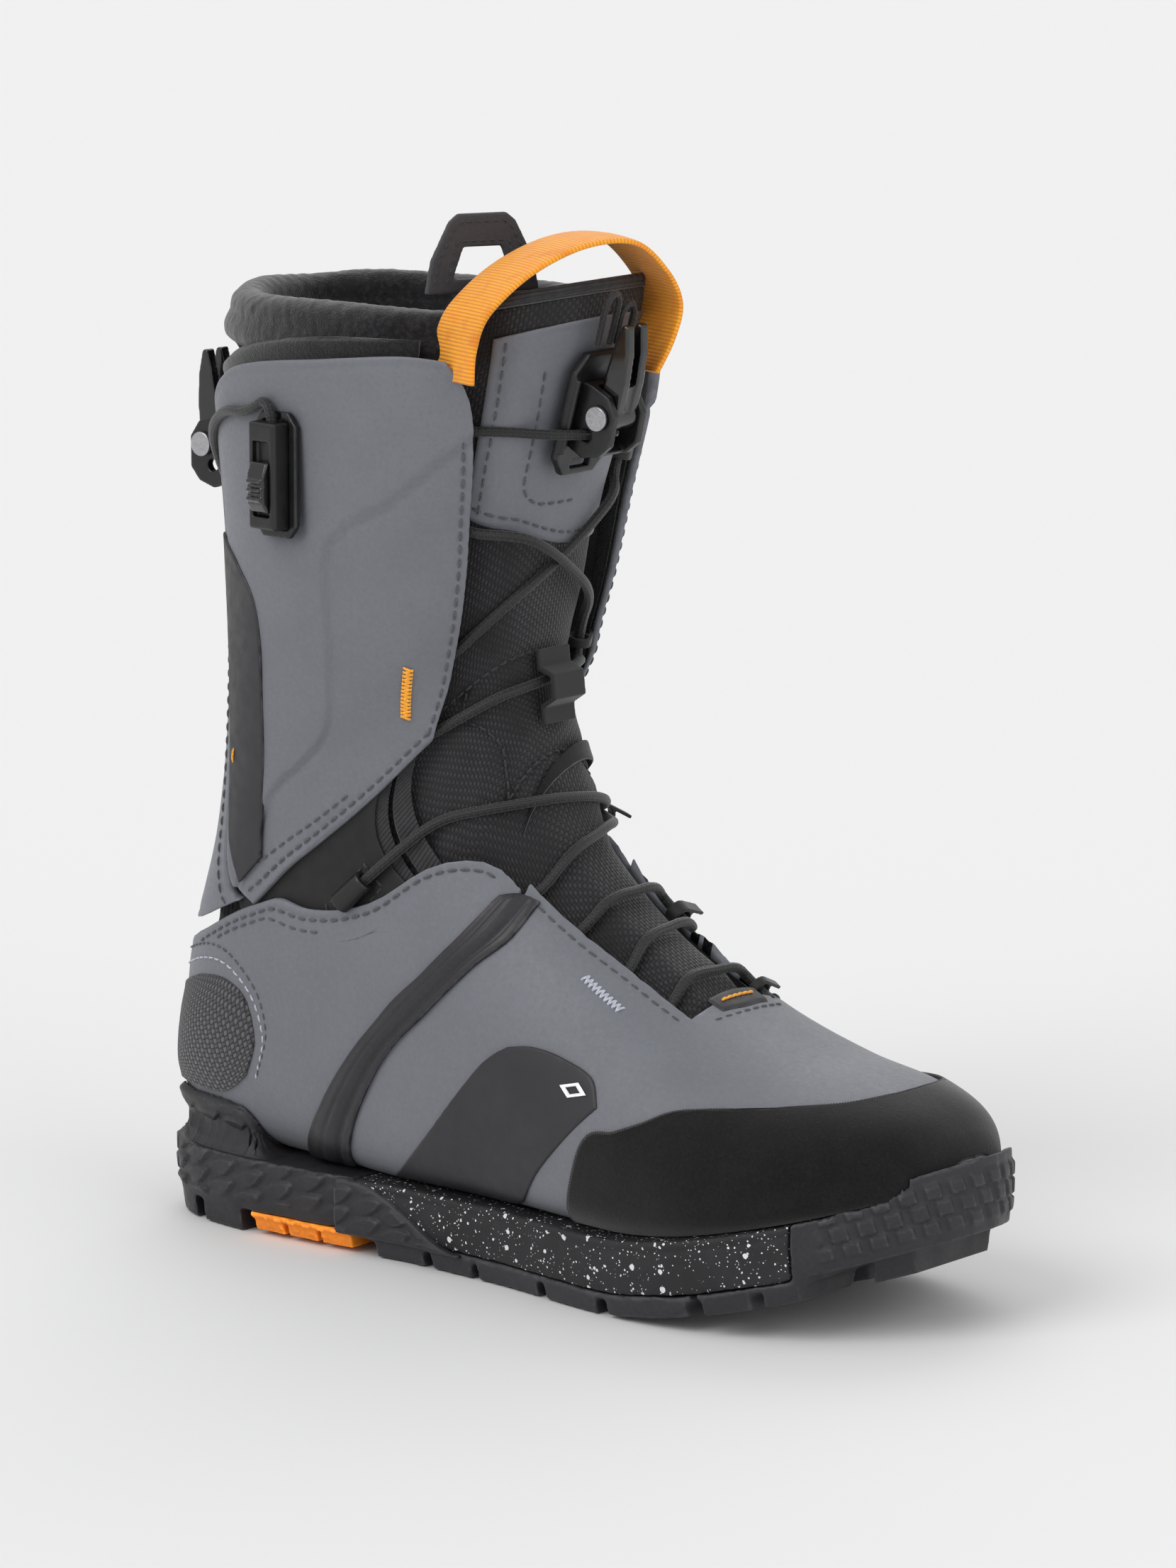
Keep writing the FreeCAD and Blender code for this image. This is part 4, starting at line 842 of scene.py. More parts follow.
def make_vamp():
    """One panel from the toes to the flex band on both sides of the tongue."""
    q = fine_lines(130, 2.6)
    p = fine_lines(95, 2.6)
    rings = 0.35 + 4.70 * np.concatenate((np.linspace(0, 0.93, 40), np.linspace(0.94, 1, 9))) ** 0.9
    rings[-1] = 5.05
    area = vamp_area(1)
    first = area.us(0.0, q)[:, 0]
    reach = feather(rings) / feather_one(5.05)
    toe_u = first[None, :] * reach[:, None]
    toe_s = np.broadcast_to(rings[:, None], toe_u.shape)
    sides = area.us(p[1:, None], q[None, :])
    u = np.concatenate((toe_u, sides[..., 0]))
    s = np.concatenate((toe_s, sides[..., 1]))
    middle = np.linspace(-1, 1, 17)
    middle_u = middle[None, :] * (first[0] * reach)[:, None]
    middle_s = np.broadcast_to(rings[:, None], middle_u.shape)
    edge = on_surface(throat_line())
    points = []
    faces = []
    kinds = []
    uvs = []
    start = 0
    for us_u, us_s in ((u, s), (-u, s), (middle_u, middle_s)):
        flat = boot(us_u, us_s)
        depth = near(flat, edge)
        top = -edge_drop(depth, EDGE_ROUND, EDGE_ROUND)
        top = top - 0.28 * bell(depth - SEAM_INSET, 0.75)
        wavy = np.where(us_u < 0, 1, 0) * smooth(9, 0, depth) * smooth(5.2, 5.6, us_s)
        top = top + 0.9 * wavy * (1 + np.sin(us_s * 11.0))
        top = top + 0.35 * ripple(flat, 60.0, 3) * smooth(0, 14, depth)
        outside = boot(us_u, us_s, top)
        inside = boot(us_u, us_s, -0.6 - 2.4 * smooth(0.0, 0.8, us_s))
        n, m = us_u.shape
        for surface, kind in ((outside, 0), (inside, 1)):
            block = grid_faces(n, m, start)
            points.append(surface.reshape(-1, 3))
            uvs.append(arc_uv(surface).reshape(-1, 2))
            faces.append(block)
            kinds.append(np.full(len(block), kind))
            start += n * m
        loop = rim(n, m)
        turn = np.roll(loop, -1)
        open_side = near(flat.reshape(-1, 3)[loop], edge) < 2.5
        keep = open_side & np.roll(open_side, -1)
        walls = np.stack((loop, turn, turn + n * m, loop + n * m), -1)[keep] + start - 2 * n * m
        faces.append(walls)
        kinds.append(np.zeros(len(walls)))
    make_piece("vamp", np.concatenate(points), np.concatenate(faces), [GREY, BACKING],
               ("vamp_front", "vamp_side_lateral", "vamp_side_medial"),
               np.concatenate(uvs), np.concatenate(kinds))
    for side in (1, -1):
        inset = vamp_area(side).border("low", SEAM_INSET, 0.04, 0.97)
        stitch_line(inset, 0.05)
    stitch_line([(0.056, 4.90), (0.03, 4.86), (0.0, 4.85), (-0.03, 4.86), (-0.056, 4.90)], 0.05)
    bar_tack((0.088, 6.05), (0.098, 5.61), 3.4, "pale", 0.25, 19)
    bar_tack((-0.088, 6.05), (-0.098, 5.61), 3.4, "pale", 0.25, 19)


def make_toe_cap():
    line = [(0.189, 4.93), (0.173, 4.61), (0.164, 4.22), (0.149, 3.5), (0.118, 2.82), (0.06, 2.52),
            (0.0, 2.46)]
    side = [(feather_one(0.5), 0.5)]
    area = Area(side + [(0.12, 0.45), (0.0, 0.4)],
                [(feather_one(5.9), 5.9), (0.222, 5.62), (0.203, 5.24)] + line,
                side + [(feather_one(s), s) for s in (2.0, 3.0, 4.0, 4.95, 5.9)],
                [(0.0, 0.4), (0.0, 1.3), (0.0, 2.46)])
    p = fine_lines(140, 2.4)
    q = fine_lines(120, 1.1)
    half = area.us(p[:, None], q[None, :])
    half[:, -1, 0] = 0
    whole = np.concatenate((half, mirrored(half[:, -2::-1], -1)), 1)
    u = whole[..., 0]
    s = whole[..., 1]
    flat = boot(u, s, 1.5)
    top_edge = np.concatenate((flat[-1], flat[-1][:1]))
    depth = near(flat, top_edge[:-1])
    top = 1.5 - edge_drop(depth, 0.8, 0.6) + 0.25 * ripple(flat, 40, 5)
    points, faces, _, uv = closed_grid(boot(u, s, top), boot(u, s, 0.30))
    make_piece("toe_cap_suede", points, faces, [SUEDE], ("toe_cap",), uv)
    edge = whole[-1]
    fine = resample(np.concatenate((on_surface(edge, 1.35), edge), 1), 330)
    normal = normals_at(fine[:, 3], fine[:, 4])
    along = unit(np.gradient(fine[:, :3], axis=0))
    add_stitches("black", fine[:, :3] - normal * 0.35, unit(np.cross(normal, along)), normal, 1.5, 0.42)


# ---------------------------------------------------------------- quarters, band and patches
def band_area(side):
    low = [(0.061, 6.80), (0.092, 6.92), (0.126, 7.26), (0.174, 7.58), (0.247, 7.85)]
    high = [(0.075, 7.25), (0.108, 7.49), (0.143, 7.73), (0.190, 7.95), (0.257, 8.10), (0.320, 8.17)]
    ends = [(feather_one(s, 2.0), s) for s in (7.98, 8.12, 8.26)]
    return Area([(0.061, 6.80), (0.066, 7.04), (0.075, 7.25)], ends, low + ends[:1], high + ends[-1:], side)


def quarter_area(side):
    front = [(u, s + 0.07) for u, s in BAND_FRONT[:-1]] + [(feather_one(8.17), 8.17)]
    low = [(feather_one(8.17), 8.17), (feather_one(8.4), 8.4), (0.458, 8.72), (0.499, 8.88)]
    return Area(front, [(0.499, 10.4), (0.499, 9.8), (0.499, 9.3), (0.499, 8.88)], QUARTER_TOP, low, side)


HEEL_FRONT = [(0.372, 8.66), (0.340, 8.72), (0.327, 8.95), (0.350, 9.25), (0.402, 9.66)]
HEEL_TOP = [(0.402, 9.66), (0.45, 9.94), (0.499, 10.08)]


def make_sides(name):
    side = side_of(name)
    quarter = quarter_area(side)
    top_edge = quarter.border("low", 0.0, count=260)
    sheet("quarter_" + name, quarter, 0.0, WALL, [GREY, BACKING], ("heel_quarter_" + name,),
          step=3.2, edges=on_surface(top_edge))
    stitch_line(quarter.border("low", SEAM_INSET, 0.03, 0.80), 0.05)
    stitch_line(quarter.border("low", SEAM_INSET + 2.9, 0.30, 0.72), 0.05)

    band = band_area(side)
    shares = np.linspace(0, 1, 25)

    def ridge(u, s, flat, depth):
        width = np.linalg.norm(np.diff(flat, axis=1), axis=-1)
        reach = np.concatenate((np.zeros((len(flat), 1)), np.cumsum(width, 1)), 1)
        across = reach / np.maximum(reach[:, -1:], 1e-6)
        crest = 0.75 * np.sin(np.clip((across - 0.30) / 0.62, 0, 1) * math.pi) ** 0.8
        groove = -0.75 * bell(across - 0.24, 0.045) - 0.45 * bell(across - 0.62, 0.035)
        return (crest + groove) * smooth(0, 3, depth)

    sheet("band_" + name, band, 1.7, 1.3, [BAND], ("flex_band_" + name,), step=2.4,
          relief=ridge, seam=0, q_lines=shares, edge_round=0.8, uneven=0.05)

    low_patch = [(feather_one(s, 1.8), s) for s in np.linspace(6.58, 7.68, 5)]
    patch = Area([(0.187, 5.49), (0.219, 5.80), (0.263, 6.15), (0.309, 6.41), low_patch[0]],
                 [(0.166, 6.62), (0.189, 6.87), (0.236, 7.12), (0.291, 7.34), low_patch[-1]],
                 [(0.187, 5.49), (0.164, 5.62), (0.157, 6.0), (0.158, 6.35), (0.166, 6.62)], low_patch, side)
    sheet("welded_patch_" + name, patch, 1.0, 0.8, [PATCH], ("side_patch_" + name,), step=2.6,
          seam=0, edge_round=0.7, uneven=0.1)
    mark(side * 0.180, 5.78, 1.25, 3.3, WHITE, "side_mark_" + name)

    for inset in (2.4, 5.0):
        outline = smooth_line([(0.372 - inset * 0.0012, 8.60), (0.338 - inset * 0.0026, 8.68),
                               (0.327 - inset * 0.0032, 8.93), (0.350 - inset * 0.0027, 9.27 + inset * 0.01),
                               (0.402 - inset * 0.0012, 9.68 + inset * 0.035),
                               (0.45, 9.95 + inset * 0.045), (0.499, 10.09 + inset * 0.05)], 120)
        stitch_line(mirrored(outline, side), 0.05, "pale" if inset < 3 else "grey", 3.4, 2.5, 0.34)


def make_heel_panel():
    front = np.array(HEEL_FRONT)
    half = Area(front, [(0.499, 9.32), (0.499, 9.7), (0.499, 10.08)],
                [(0.372, 8.66), (0.403, 8.76), (0.432, 9.06), (0.455, 9.24), (0.499, 9.32)], HEEL_TOP)
    p = fine_lines(62, 2.0)
    q = fine_lines(46, 2.0)
    us = half.us(p[:, None], q[None, :])
    us[-1, :, 0] = 0.5
    other = us[-2::-1].copy()
    other[..., 0] = 1 - other[..., 0]
    whole = np.concatenate((us, other))
    u = whole[..., 0]
    s = whole[..., 1]
    flat = boot(u, s, 1.3)
    depth = near(flat, flat.reshape(-1, 3)[rim(*u.shape)])
    top = 1.2 - edge_drop(depth, 0.8, 0.7) + 0.5 * smooth(1.5, 8, depth)
    points, faces, _, uv = closed_grid(boot(u, s, top), boot(u, s, GAP))
    make_piece("heel_knit_panel", points, faces, [HEEL_KNIT], ("heel_panel",), uv)


def mark(u, s, off, size, material, name):
    """Plain raised lozenge, a stand-in for a printed mark."""
    middle = boot(u, s, off)
    normal = normals_at(np.array([u]), np.array([s]))[0]
    along = unit(boot(u, s - 0.05, off) - middle)
    side = unit(np.cross(normal, along))
    points = []
    faces = []
    shape = np.array(((1.7, 0), (0.35, 0.85), (-1.7, 0), (-0.35, -0.85)))
    rings = ((1.0, 0.0), (1.0, 0.25), (0.9, 0.35), (0.62, 0.35), (0.55, 0.25), (0.55, 0.0))
    for scale, height in rings:
        for a, b in shape * scale * size:
            points.append(middle + along * a + side * b + normal * height)
    for ring in range(len(rings) - 1):
        for k in range(4):
            after = (k + 1) % 4
            faces.append((4 * ring + k, 4 * ring + after, 4 * ring + 4 + after, 4 * ring + 4 + k))
    make_piece(name, points, faces, [material])


# ---------------------------------------------------------------- cuff
FLAP_LINE = [(0.100, 12.93), (0.109, 12.88), (0.161, 12.62), (0.217, 12.57), (0.231, 12.50), (0.233, 12.22),
             (0.220, 11.55), (0.206, 10.86), (0.208, 10.66), (0.235, 10.60), (0.296, 10.58), (0.330, 10.23)]


def cuff_area(side):
    front = [(0.064, 9.32), (0.064, 10.08), (0.074, 11.06), (0.083, 11.89), (0.103, 13.2), (0.128, 13.76)]
    rear = [(0.312, 9.64), (0.354, 10.07), (0.376, 10.69), (0.389, 11.6), (0.400, 13.0), (0.418, 13.9)]
    low = [(0.064, 9.32), (0.103, 9.32), (0.173, 9.47), (0.242, 9.60), (0.312, 9.64)]
    high = [(0.128, 13.76), (0.17, 13.92), (0.25, 14.05), (0.34, 14.16), (0.385, 14.06), (0.418, 13.9)]
    return Area(front, rear, low, high, side)


def make_cuff(name):
    side = side_of(name)
    area = cuff_area(side)
    line = mirrored(smooth_line(FLAP_LINE, 260), side)
    raised = flare if side < 0 else 0.0
    crease = boot(line[:, 0], line[:, 1], value_of(raised, line[:, 0], line[:, 1]))
    ahead = np.gradient(line * np.array((300, 25)), axis=0)

    def embossed(u, s, flat, depth):
        """A soft step along the pressed line, with a fine groove in it."""
        points = flat.reshape(-1, 3)
        gap = np.empty(len(points))
        where = np.empty(len(points), int)
        for k in range(0, len(points), 3000):
            squared = ((points[k:k + 3000, None] - crease[None]) ** 2).sum(-1)
            where[k:k + 3000] = squared.argmin(1)
            gap[k:k + 3000] = np.sqrt(squared.min(1))
        offset = (np.stack((u.ravel(), s.ravel()), -1) - line[where]) * np.array((300, 25))
        turn = ahead[where][:, 0] * offset[:, 1] - ahead[where][:, 1] * offset[:, 0]
        signed = (gap * np.sign(turn) * side).reshape(u.shape)
        return 1.15 * smooth(-1.4, 1.4, signed) - 0.60 * bell(signed + 1.0, 1.1)

    def opening(u, s, flat, depth):
        if side < 0:
            return embossed(u, s, flat, depth)
        here = flat - lock_point(0, 0, 0)
        up = here[..., 2]
        sideways = math.radians(LOCK_TURN + 90)
        across = here @ np.array((math.cos(sideways), math.sin(sideways), 0))
        outside_box = np.maximum(np.abs(across) - 6.5, 0) ** 2 + np.maximum(np.abs(up) - 17.0, 0) ** 2
        return embossed(u, s, flat, depth) - 1.3 * bell(np.sqrt(outside_box), 3.2)

    sheet("cuff_" + name + "_panel", area, raised, WALL, [GREY, LINING], ("cuff_" + name,),
          step=1.7, relief=opening)
    stitch_line(area.border("front", SEAM_INSET, 0.02, 0.985), value_of_off(raised, 0.05))
    stitch_line(area.border("high", SEAM_INSET, 0.02, 0.98), value_of_off(raised, 0.05))
    stitch_line(area.border("low", SEAM_INSET, 0.02, 0.97), value_of_off(raised, 0.05))
    stitch_line(area.border("low", SEAM_INSET + 2.8, 0.30, 0.97), value_of_off(raised, 0.05))
    stitch_line(area.border("back", SEAM_INSET, 0.55, 0.97), value_of_off(raised, 0.05))
    if side > 0:
        bar_tack((0.107, 10.61), (0.094, 9.95), 3.6, "orange", 0.75, 27)
    front = [(0.300, 10.0), (0.310, 10.8), (0.320, 11.6), (0.330, 12.35), (0.360, 12.75), (0.392, 13.0)]
    back = [(0.338, 10.0), (0.369, 10.69), (0.383, 11.6), (0.390, 12.3), (0.395, 12.75), (0.398, 13.05)]
    printed = Area(front, back, [front[0], back[0]], [front[-1], back[-1]], side)
    sheet("printed_" + name, printed, 2.0, 1.3, [PATCH], ("print_panel_" + name,),
          step=2.4, seam=0, edge_round=0.5, uneven=0.05)
    tick_mark(side * 0.3700, 11.33, 2.1)


def value_of_off(raised, extra):
    if callable(raised):
        return lambda u, s: raised(u, s) + extra
    return raised + extra


def tick_mark(u, s, off):
    """Short plain bar where a printed word would be."""
    low, middle, high = (boot(u, at, off) for at in (s - 0.10, s, s + 0.10))
    normal = normals_at(np.array([u]), np.array([s]))
    add_stitches("orange", middle[None], unit(high - low)[None], normal, 5.0, 0.42)


def make_spine():
    side = [(0.345, 9.86), (0.364, 10.07), (0.384, 10.69), (0.397, 11.6), (0.408, 13.0), (0.426, 13.9)]
    area = Area(side, [(1 - u, s) for u, s in side],
                [(0.345, 9.86), (0.40, 10.12), (0.45, 10.40), (0.5, 10.54), (0.55, 10.40),
                 (0.60, 10.12), (0.655, 9.86)],
                [(0.426, 13.9), (0.5, 13.9), (0.574, 13.9)])
    sheet("spine_panel", area, 0.0, WALL, [GREY, LINING], ("rear_spine",), step=2.6)
    for name in ("front", "back"):
        stitch_line(area.border(name, SEAM_INSET, 0.04, 0.97), 0.05)
    stitch_line(area.border("high", SEAM_INSET, 0.06, 0.94), 0.05)


def make_inner_panels():
    for name in ("lateral", "medial"):
        side = side_of(name)
        area = Area([(0.104, 7.95), (0.104, 8.9), (0.100, 9.75)], [(0.30, 8.9), (0.33, 9.4), (0.36, 9.95)],
                    [(0.104, 7.95), (0.16, 8.3), (0.23, 8.7), (0.30, 8.9)],
                    [(0.100, 9.75), (0.16, 9.85), (0.26, 9.95), (0.36, 9.95)], side)
        sheet("ankle_textile_" + name, area, -WALL - GAP + 0.6, 2.6, [ANKLE], ("ankle_panel_" + name,),
              step=3.0, seam=0)
        for shift in (0.0, 0.017):
            front = [(0.082 + shift, 8.10), (0.078 + shift, 8.6), (0.074 + shift, 9.2), (0.070 + shift, 9.75)]
            back = [(u + 0.013, s) for u, s in front]
            tape = Area(front, back, [front[0], back[0]], [front[-1], back[-1]], side)
            sheet("eyestay_tape_%s_%d" % (name, int(shift * 1000)), tape,
                  lambda u, s: np.maximum(crown(u, s) + 1.6, -4.2), 1.3, [TAPE], step=1.6, seam=0,
                  edge_round=0.4, uneven=0.0)
    top = [(0.150, 14.05), (0.25, 14.32), (0.34, 14.42), (0.42, 14.25), (0.5, 14.2)]
    top = top + [(1 - u, s) for u, s in reversed(top[:-1])]
    lateral = [(0.135, 10.1), (0.150, 12.0), (0.150, 14.05)]
    medial = [(1 - u, s) for u, s in lateral]
    low = [(0.135, 10.1), (0.3, 10.2), (0.4, 10.45), (0.5, 10.75), (0.6, 10.45), (0.7, 10.2), (0.865, 10.1)]
    lining = Area(lateral, medial, low, top)

    def rolled(u, s, flat, depth):
        return 1.4 * smooth(13.95, 14.25, s) * smooth(0.0, 2.0, depth)

    piece = sheet("collar_padding", lining, -WALL - GAP, 2.3, [LINING], ("collar_lining",),
                  step=3.4, relief=rolled, seam=0, edge_round=1.1)
    flap = Area([(-0.068, 9.40), (-0.078, 11.06), (-0.088, 11.89), (-0.108, 13.2), (-0.130, 13.66)],
                [(-0.150, 9.45), (-0.150, 11.0), (-0.150, 12.4), (-0.150, 13.2), (-0.150, 13.72)],
                [(-0.068, 9.40), (-0.150, 9.45)], [(-0.130, 13.66), (-0.150, 13.72)])
    sheet("flap_lining", flap, lambda u, s: flare(u, s) - WALL - 0.15, 1.2, [LINING], step=3.0, seam=0)
    front = [(-0.074, 9.6), (-0.082, 11.06), (-0.092, 11.89), (-0.112, 13.1)]
    back = [(u - 0.022, s) for u, s in front]
    tape = Area(front, back, [front[0], back[0]], [front[-1], back[-1]])
    sheet("flap_tape", tape, lambda u, s: flare(u, s) - WALL - 1.35, 1.2, [TAPE], step=1.8, seam=0,
          edge_round=0.4, uneven=0.0)


# ---------------------------------------------------------------- tongue
TONGUE_SEAMS = [
    [(0.046, 9.72), (0.044, 9.3), (0.036, 8.9), (0.030, 8.5), (0.034, 8.1), (0.038, 7.9)],
    [(-0.030, 9.72), (-0.034, 9.3), (-0.042, 8.8), (-0.046, 8.3), (-0.044, 8.0)],
    [(0.085, 9.80), (0.046, 9.76), (0.0, 9.74), (-0.046, 9.76), (-0.085, 9.80)],
    [(0.038, 7.9), (0.020, 8.02), (0.0, 8.10), (-0.022, 8.08), (-0.044, 8.0)],
]


def make_tongue():
    t = np.linspace(-1, 1, 67)
    s_lines = np.linspace(4.75, 14.3, 200)
    s = np.broadcast_to(s_lines[None, :], (67, 200))
    u = np.minimum(edge_u(s) + 0.028, 0.125) * t[:, None]
    base = crown(u, s)
    flat = boot(u, s, base)
    relief = 0.3 * ripple(flat, 30, 2)
    for seam in TONGUE_SEAMS:
        line = smooth_line(seam, 120)
        gap = near(flat, boot(line[:, 0], line[:, 1], crown(line[:, 0], line[:, 1])))
        relief = relief - 1.9 * bell(gap, 2.6)
        stitch_line(line, lambda a, b: crown(a, b) - 1.7, "black", 3.4, 2.6, 0.34)
    folds = bell(s - 9.25, 0.55) + bell(s - 8.2, 0.6)
    relief = relief - 0.7 * folds * (0.5 + 0.5 * np.sin(u * 260 + 4 * np.sin(s * 3)))
    relief = relief - edge_drop(near(flat, flat.reshape(-1, 3)[rim(*u.shape)]), 1.3, 1.2)
    points, faces, kinds, uv = closed_grid(boot(u, s, base + relief), boot(u, s, base - 3.0))
    piece = make_piece("tongue_padded", points, faces, [TONGUE, LINING], ("tongue",), uv,
                       kinds)


def make_tongue_trim():
    top = Area([(-0.078, 11.95), (-0.088, 12.8), (-0.092, 13.9)],
               [(0.086, 12.15), (0.090, 12.8), (0.092, 13.9)],
               [(-0.078, 11.95), (-0.05, 11.5), (0.0, 11.35), (0.05, 11.72), (0.086, 12.15)],
               [(-0.092, 13.9), (0.0, 13.95), (0.092, 13.9)])
    level = lambda u, s: crown(u, s) + 1.2
    stitched = lambda u, s: crown(u, s) + 1.25
    sheet("tongue_shield", top, level, 1.0, [GREY, BACKING], ("tongue_top_panel",),
          step=2.4)
    stitch_line(top.border("low", SEAM_INSET, 0.03, 0.97), stitched)
    stitch_line(top.border("front", SEAM_INSET, 0.05, 0.95), stitched)
    stitch_line(top.border("back", SEAM_INSET, 0.05, 0.95), stitched)
    stitch_line(smooth_line([(0.052, 13.45), (0.050, 13.0), (0.048, 12.5), (0.046, 12.15), (0.036, 11.95),
                             (0.020, 11.86), (-0.006, 11.85)], 100), stitched)
    tape = Area([(-0.120, 14.28), (-0.120, 14.52)], [(0.120, 14.28), (0.120, 14.52)],
                [(-0.120, 14.28), (0.0, 14.28), (0.120, 14.28)],
                [(-0.120, 14.52), (0.0, 14.52), (0.120, 14.52)])

    def pinched(u, s, flat, depth):
        return 0.25 * np.sin(flat[..., 1] * 1.7) * smooth(0, 1, depth)

    sheet("tongue_tape", tape, lambda u, s: crown(u, s) + 1.0, 5.0, [TAPE], ("tongue_binding",),
          step=1.2, relief=pinched, seam=0, edge_round=1.8, uneven=0.0)
    strap = Area([(0.040, 7.45), (0.012, 7.80)], [(-0.088, 8.85), (-0.078, 9.35)],
                 [(0.040, 7.45), (-0.030, 8.0), (-0.088, 8.85)],
                 [(0.012, 7.80), (-0.045, 8.45), (-0.078, 9.35)])
    sheet("velvet_strap", strap, lambda u, s: crown(u, s) + 2.4, 1.0, [VELVET], ("instep_strap",),
          step=1.6, seam=0, edge_round=0.5, uneven=0.15)
    label = Area([(0.036, 4.93), (0.036, 5.12)], [(-0.036, 4.93), (-0.036, 5.12)],
                 [(0.036, 4.93), (0.0, 4.90), (-0.036, 4.93)], [(0.036, 5.12), (0.0, 5.14), (-0.036, 5.12)])
    sheet("throat_label", label, 0.9, 1.6, [PATCH], step=1.2, seam=0, edge_round=0.9, uneven=0.0)
    for k in range(6):
        at = boot(0.020 - 0.008 * k, 5.03, 1.1)
        normal = normals_at(np.array([0.020 - 0.008 * k]), np.array([5.03]))
        along = unit(boot(0.016 - 0.008 * k, 5.03, 1.1) - boot(0.024 - 0.008 * k, 5.03, 1.1))
        add_stitches("orange", at[None], along[None], normal, 2.6, 0.5)


# ---------------------------------------------------------------- laces
MEDIAL_LOOPS = [(5.05, 5.35), (5.95, 6.40), (7.55, 8.15), (9.75, 10.35), (12.20, 12.80)]
LOOP_LIFT = 4.2
LACE_ARCH = 4.0
FRONT_LEAN = 16.0
FRONT_PLACE = np.array((2.6, -5.0, 277.0))
REAR_LEAN = -4.4
REAR_PLACE = np.array((-135.6, -6.0, 253.0))
LOCK_TURN = -98.0
LOCK_PLACE = np.array((-79.0, -56.6, 253.0))
LOCK_HALF = 17.0
LOCK_BORE_DEPTH = 3.7


def turned(point, axis, degrees):
    return np.array(Matrix.Rotation(math.radians(degrees), 3, axis) @ Vector(point))


def front_point(x, y, z):
    return turned((x, y, z), "Y", FRONT_LEAN) + FRONT_PLACE


def lock_point(x, y, z):
    return turned((x, y, z), "Z", LOCK_TURN) + LOCK_PLACE


def over_tongue(u, s, extra=0.0):
    """Centre of a lace lying on the tongue."""
    middle = (float(crown(u, s)) + TONGUE_SINK) / (TONGUE_SINK - 0.5)
    rise = LACE_RADIUS + 1.0 + (1.2 + 1.0 * float(smooth(11.0, 11.6, s))) * middle
    return boot(u, s, float(crown(u, s)) + rise + extra)


def crossing(u0, s0, u1, s1, count, extra=0.0, lift=0.0):
    """Lace points over the tongue between two places, the last one raised into its loop."""
    points = []
    start = boot(u0, s0)[2]
    end = boot(u1, s1)[2]
    for share in np.linspace(0, 1, count):
        u = u0 + (u1 - u0) * share
        s = section_at(u, start + (end - start) * share + LACE_ARCH * math.sin(math.pi * share))
        added = extra * math.sin(math.pi * share) ** 2 + lift * max(0.0, 3 * share - 2)
        points.append(over_tongue(u, s, added))
    return points


def medial_u(s):
    return -(edge_u(s) - 0.012)


def lateral_u(s):
    return edge_u(s) + 0.016


def curve_through(points):
    """Smooth NURBS line drawn by control points in mm, as points in mm."""
    data = bpy.data.curves.new("route", "CURVE")
    data.dimensions = "3D"
    data.resolution_u = 10
    spline = data.splines.new("NURBS")
    spline.points.add(len(points) - 1)
    for k, point in enumerate(points):
        spline.points[k].co = (*point, 1)
    spline.order_u = 3
    spline.use_endpoint_u = True
    carrier = bpy.data.objects.new("route", data)
    mesh = bpy.data.meshes.new_from_object(carrier)
    line = np.array([v.co for v in mesh.vertices], float)
    bpy.data.objects.remove(carrier)
    bpy.data.curves.remove(data)
    bpy.data.meshes.remove(mesh)
    return line


def tube(name, points, radius, materials, replaces, sides=16, step=1.0, turns=0.045):
    """Braided round cord along control points, its surface lifted by the crossing strands."""
    line = curve_through(points)
    line = resample(line, max(int(length_of(line) / step), 4))
    along = unit(np.gradient(line, axis=0))
    frame_side = np.empty_like(line)
    side = unit(np.cross(along[0], (0.3, 0.2, 0.93)))
    for k in range(len(line)):
        side = unit(side - along[k] * (side @ along[k]))
        frame_side[k] = side
    other = np.cross(along, frame_side)
    angle = np.arange(sides) * 2 * math.pi / sides
    reach = np.arange(len(line)) * step
    twist = reach[:, None] * turns * 6
    strands = np.sin(4 * (angle[None, :] + twist)) * np.sin(4 * (angle[None, :] - twist))
    swell = radius * (1 + 0.035 * strands)
    points = line[:, None] + frame_side[:, None] * (np.cos(angle) * swell)[..., None]
    points = points + other[:, None] * (np.sin(angle) * swell)[..., None]
    n = len(line)
    a = np.arange(n * sides).reshape(n, sides)
    b = np.roll(a, -1, axis=1)
    faces = np.stack((a[:-1], b[:-1], b[1:], a[1:]), -1).reshape(-1, 4)
    caps = np.concatenate((line[:1], line[-1:]))
    ends = []
    for ring, tip in ((a[0], n * sides), (a[-1], n * sides + 1)):
        ends.append(np.stack((ring, np.roll(ring, -1), np.full(sides, tip), np.full(sides, tip)), -1))
    uv = np.stack(np.broadcast_arrays(angle * radius, reach[:, None]), -1)
    quads = faces.tolist() + [row[:3].tolist() for part in ends for row in part]
    uv = np.concatenate((uv.reshape(-1, 2), np.zeros((2, 2))))
    points = np.concatenate((points.reshape(-1, 3), caps))
    return make_piece(name, points, quads, materials, replaces, uv)


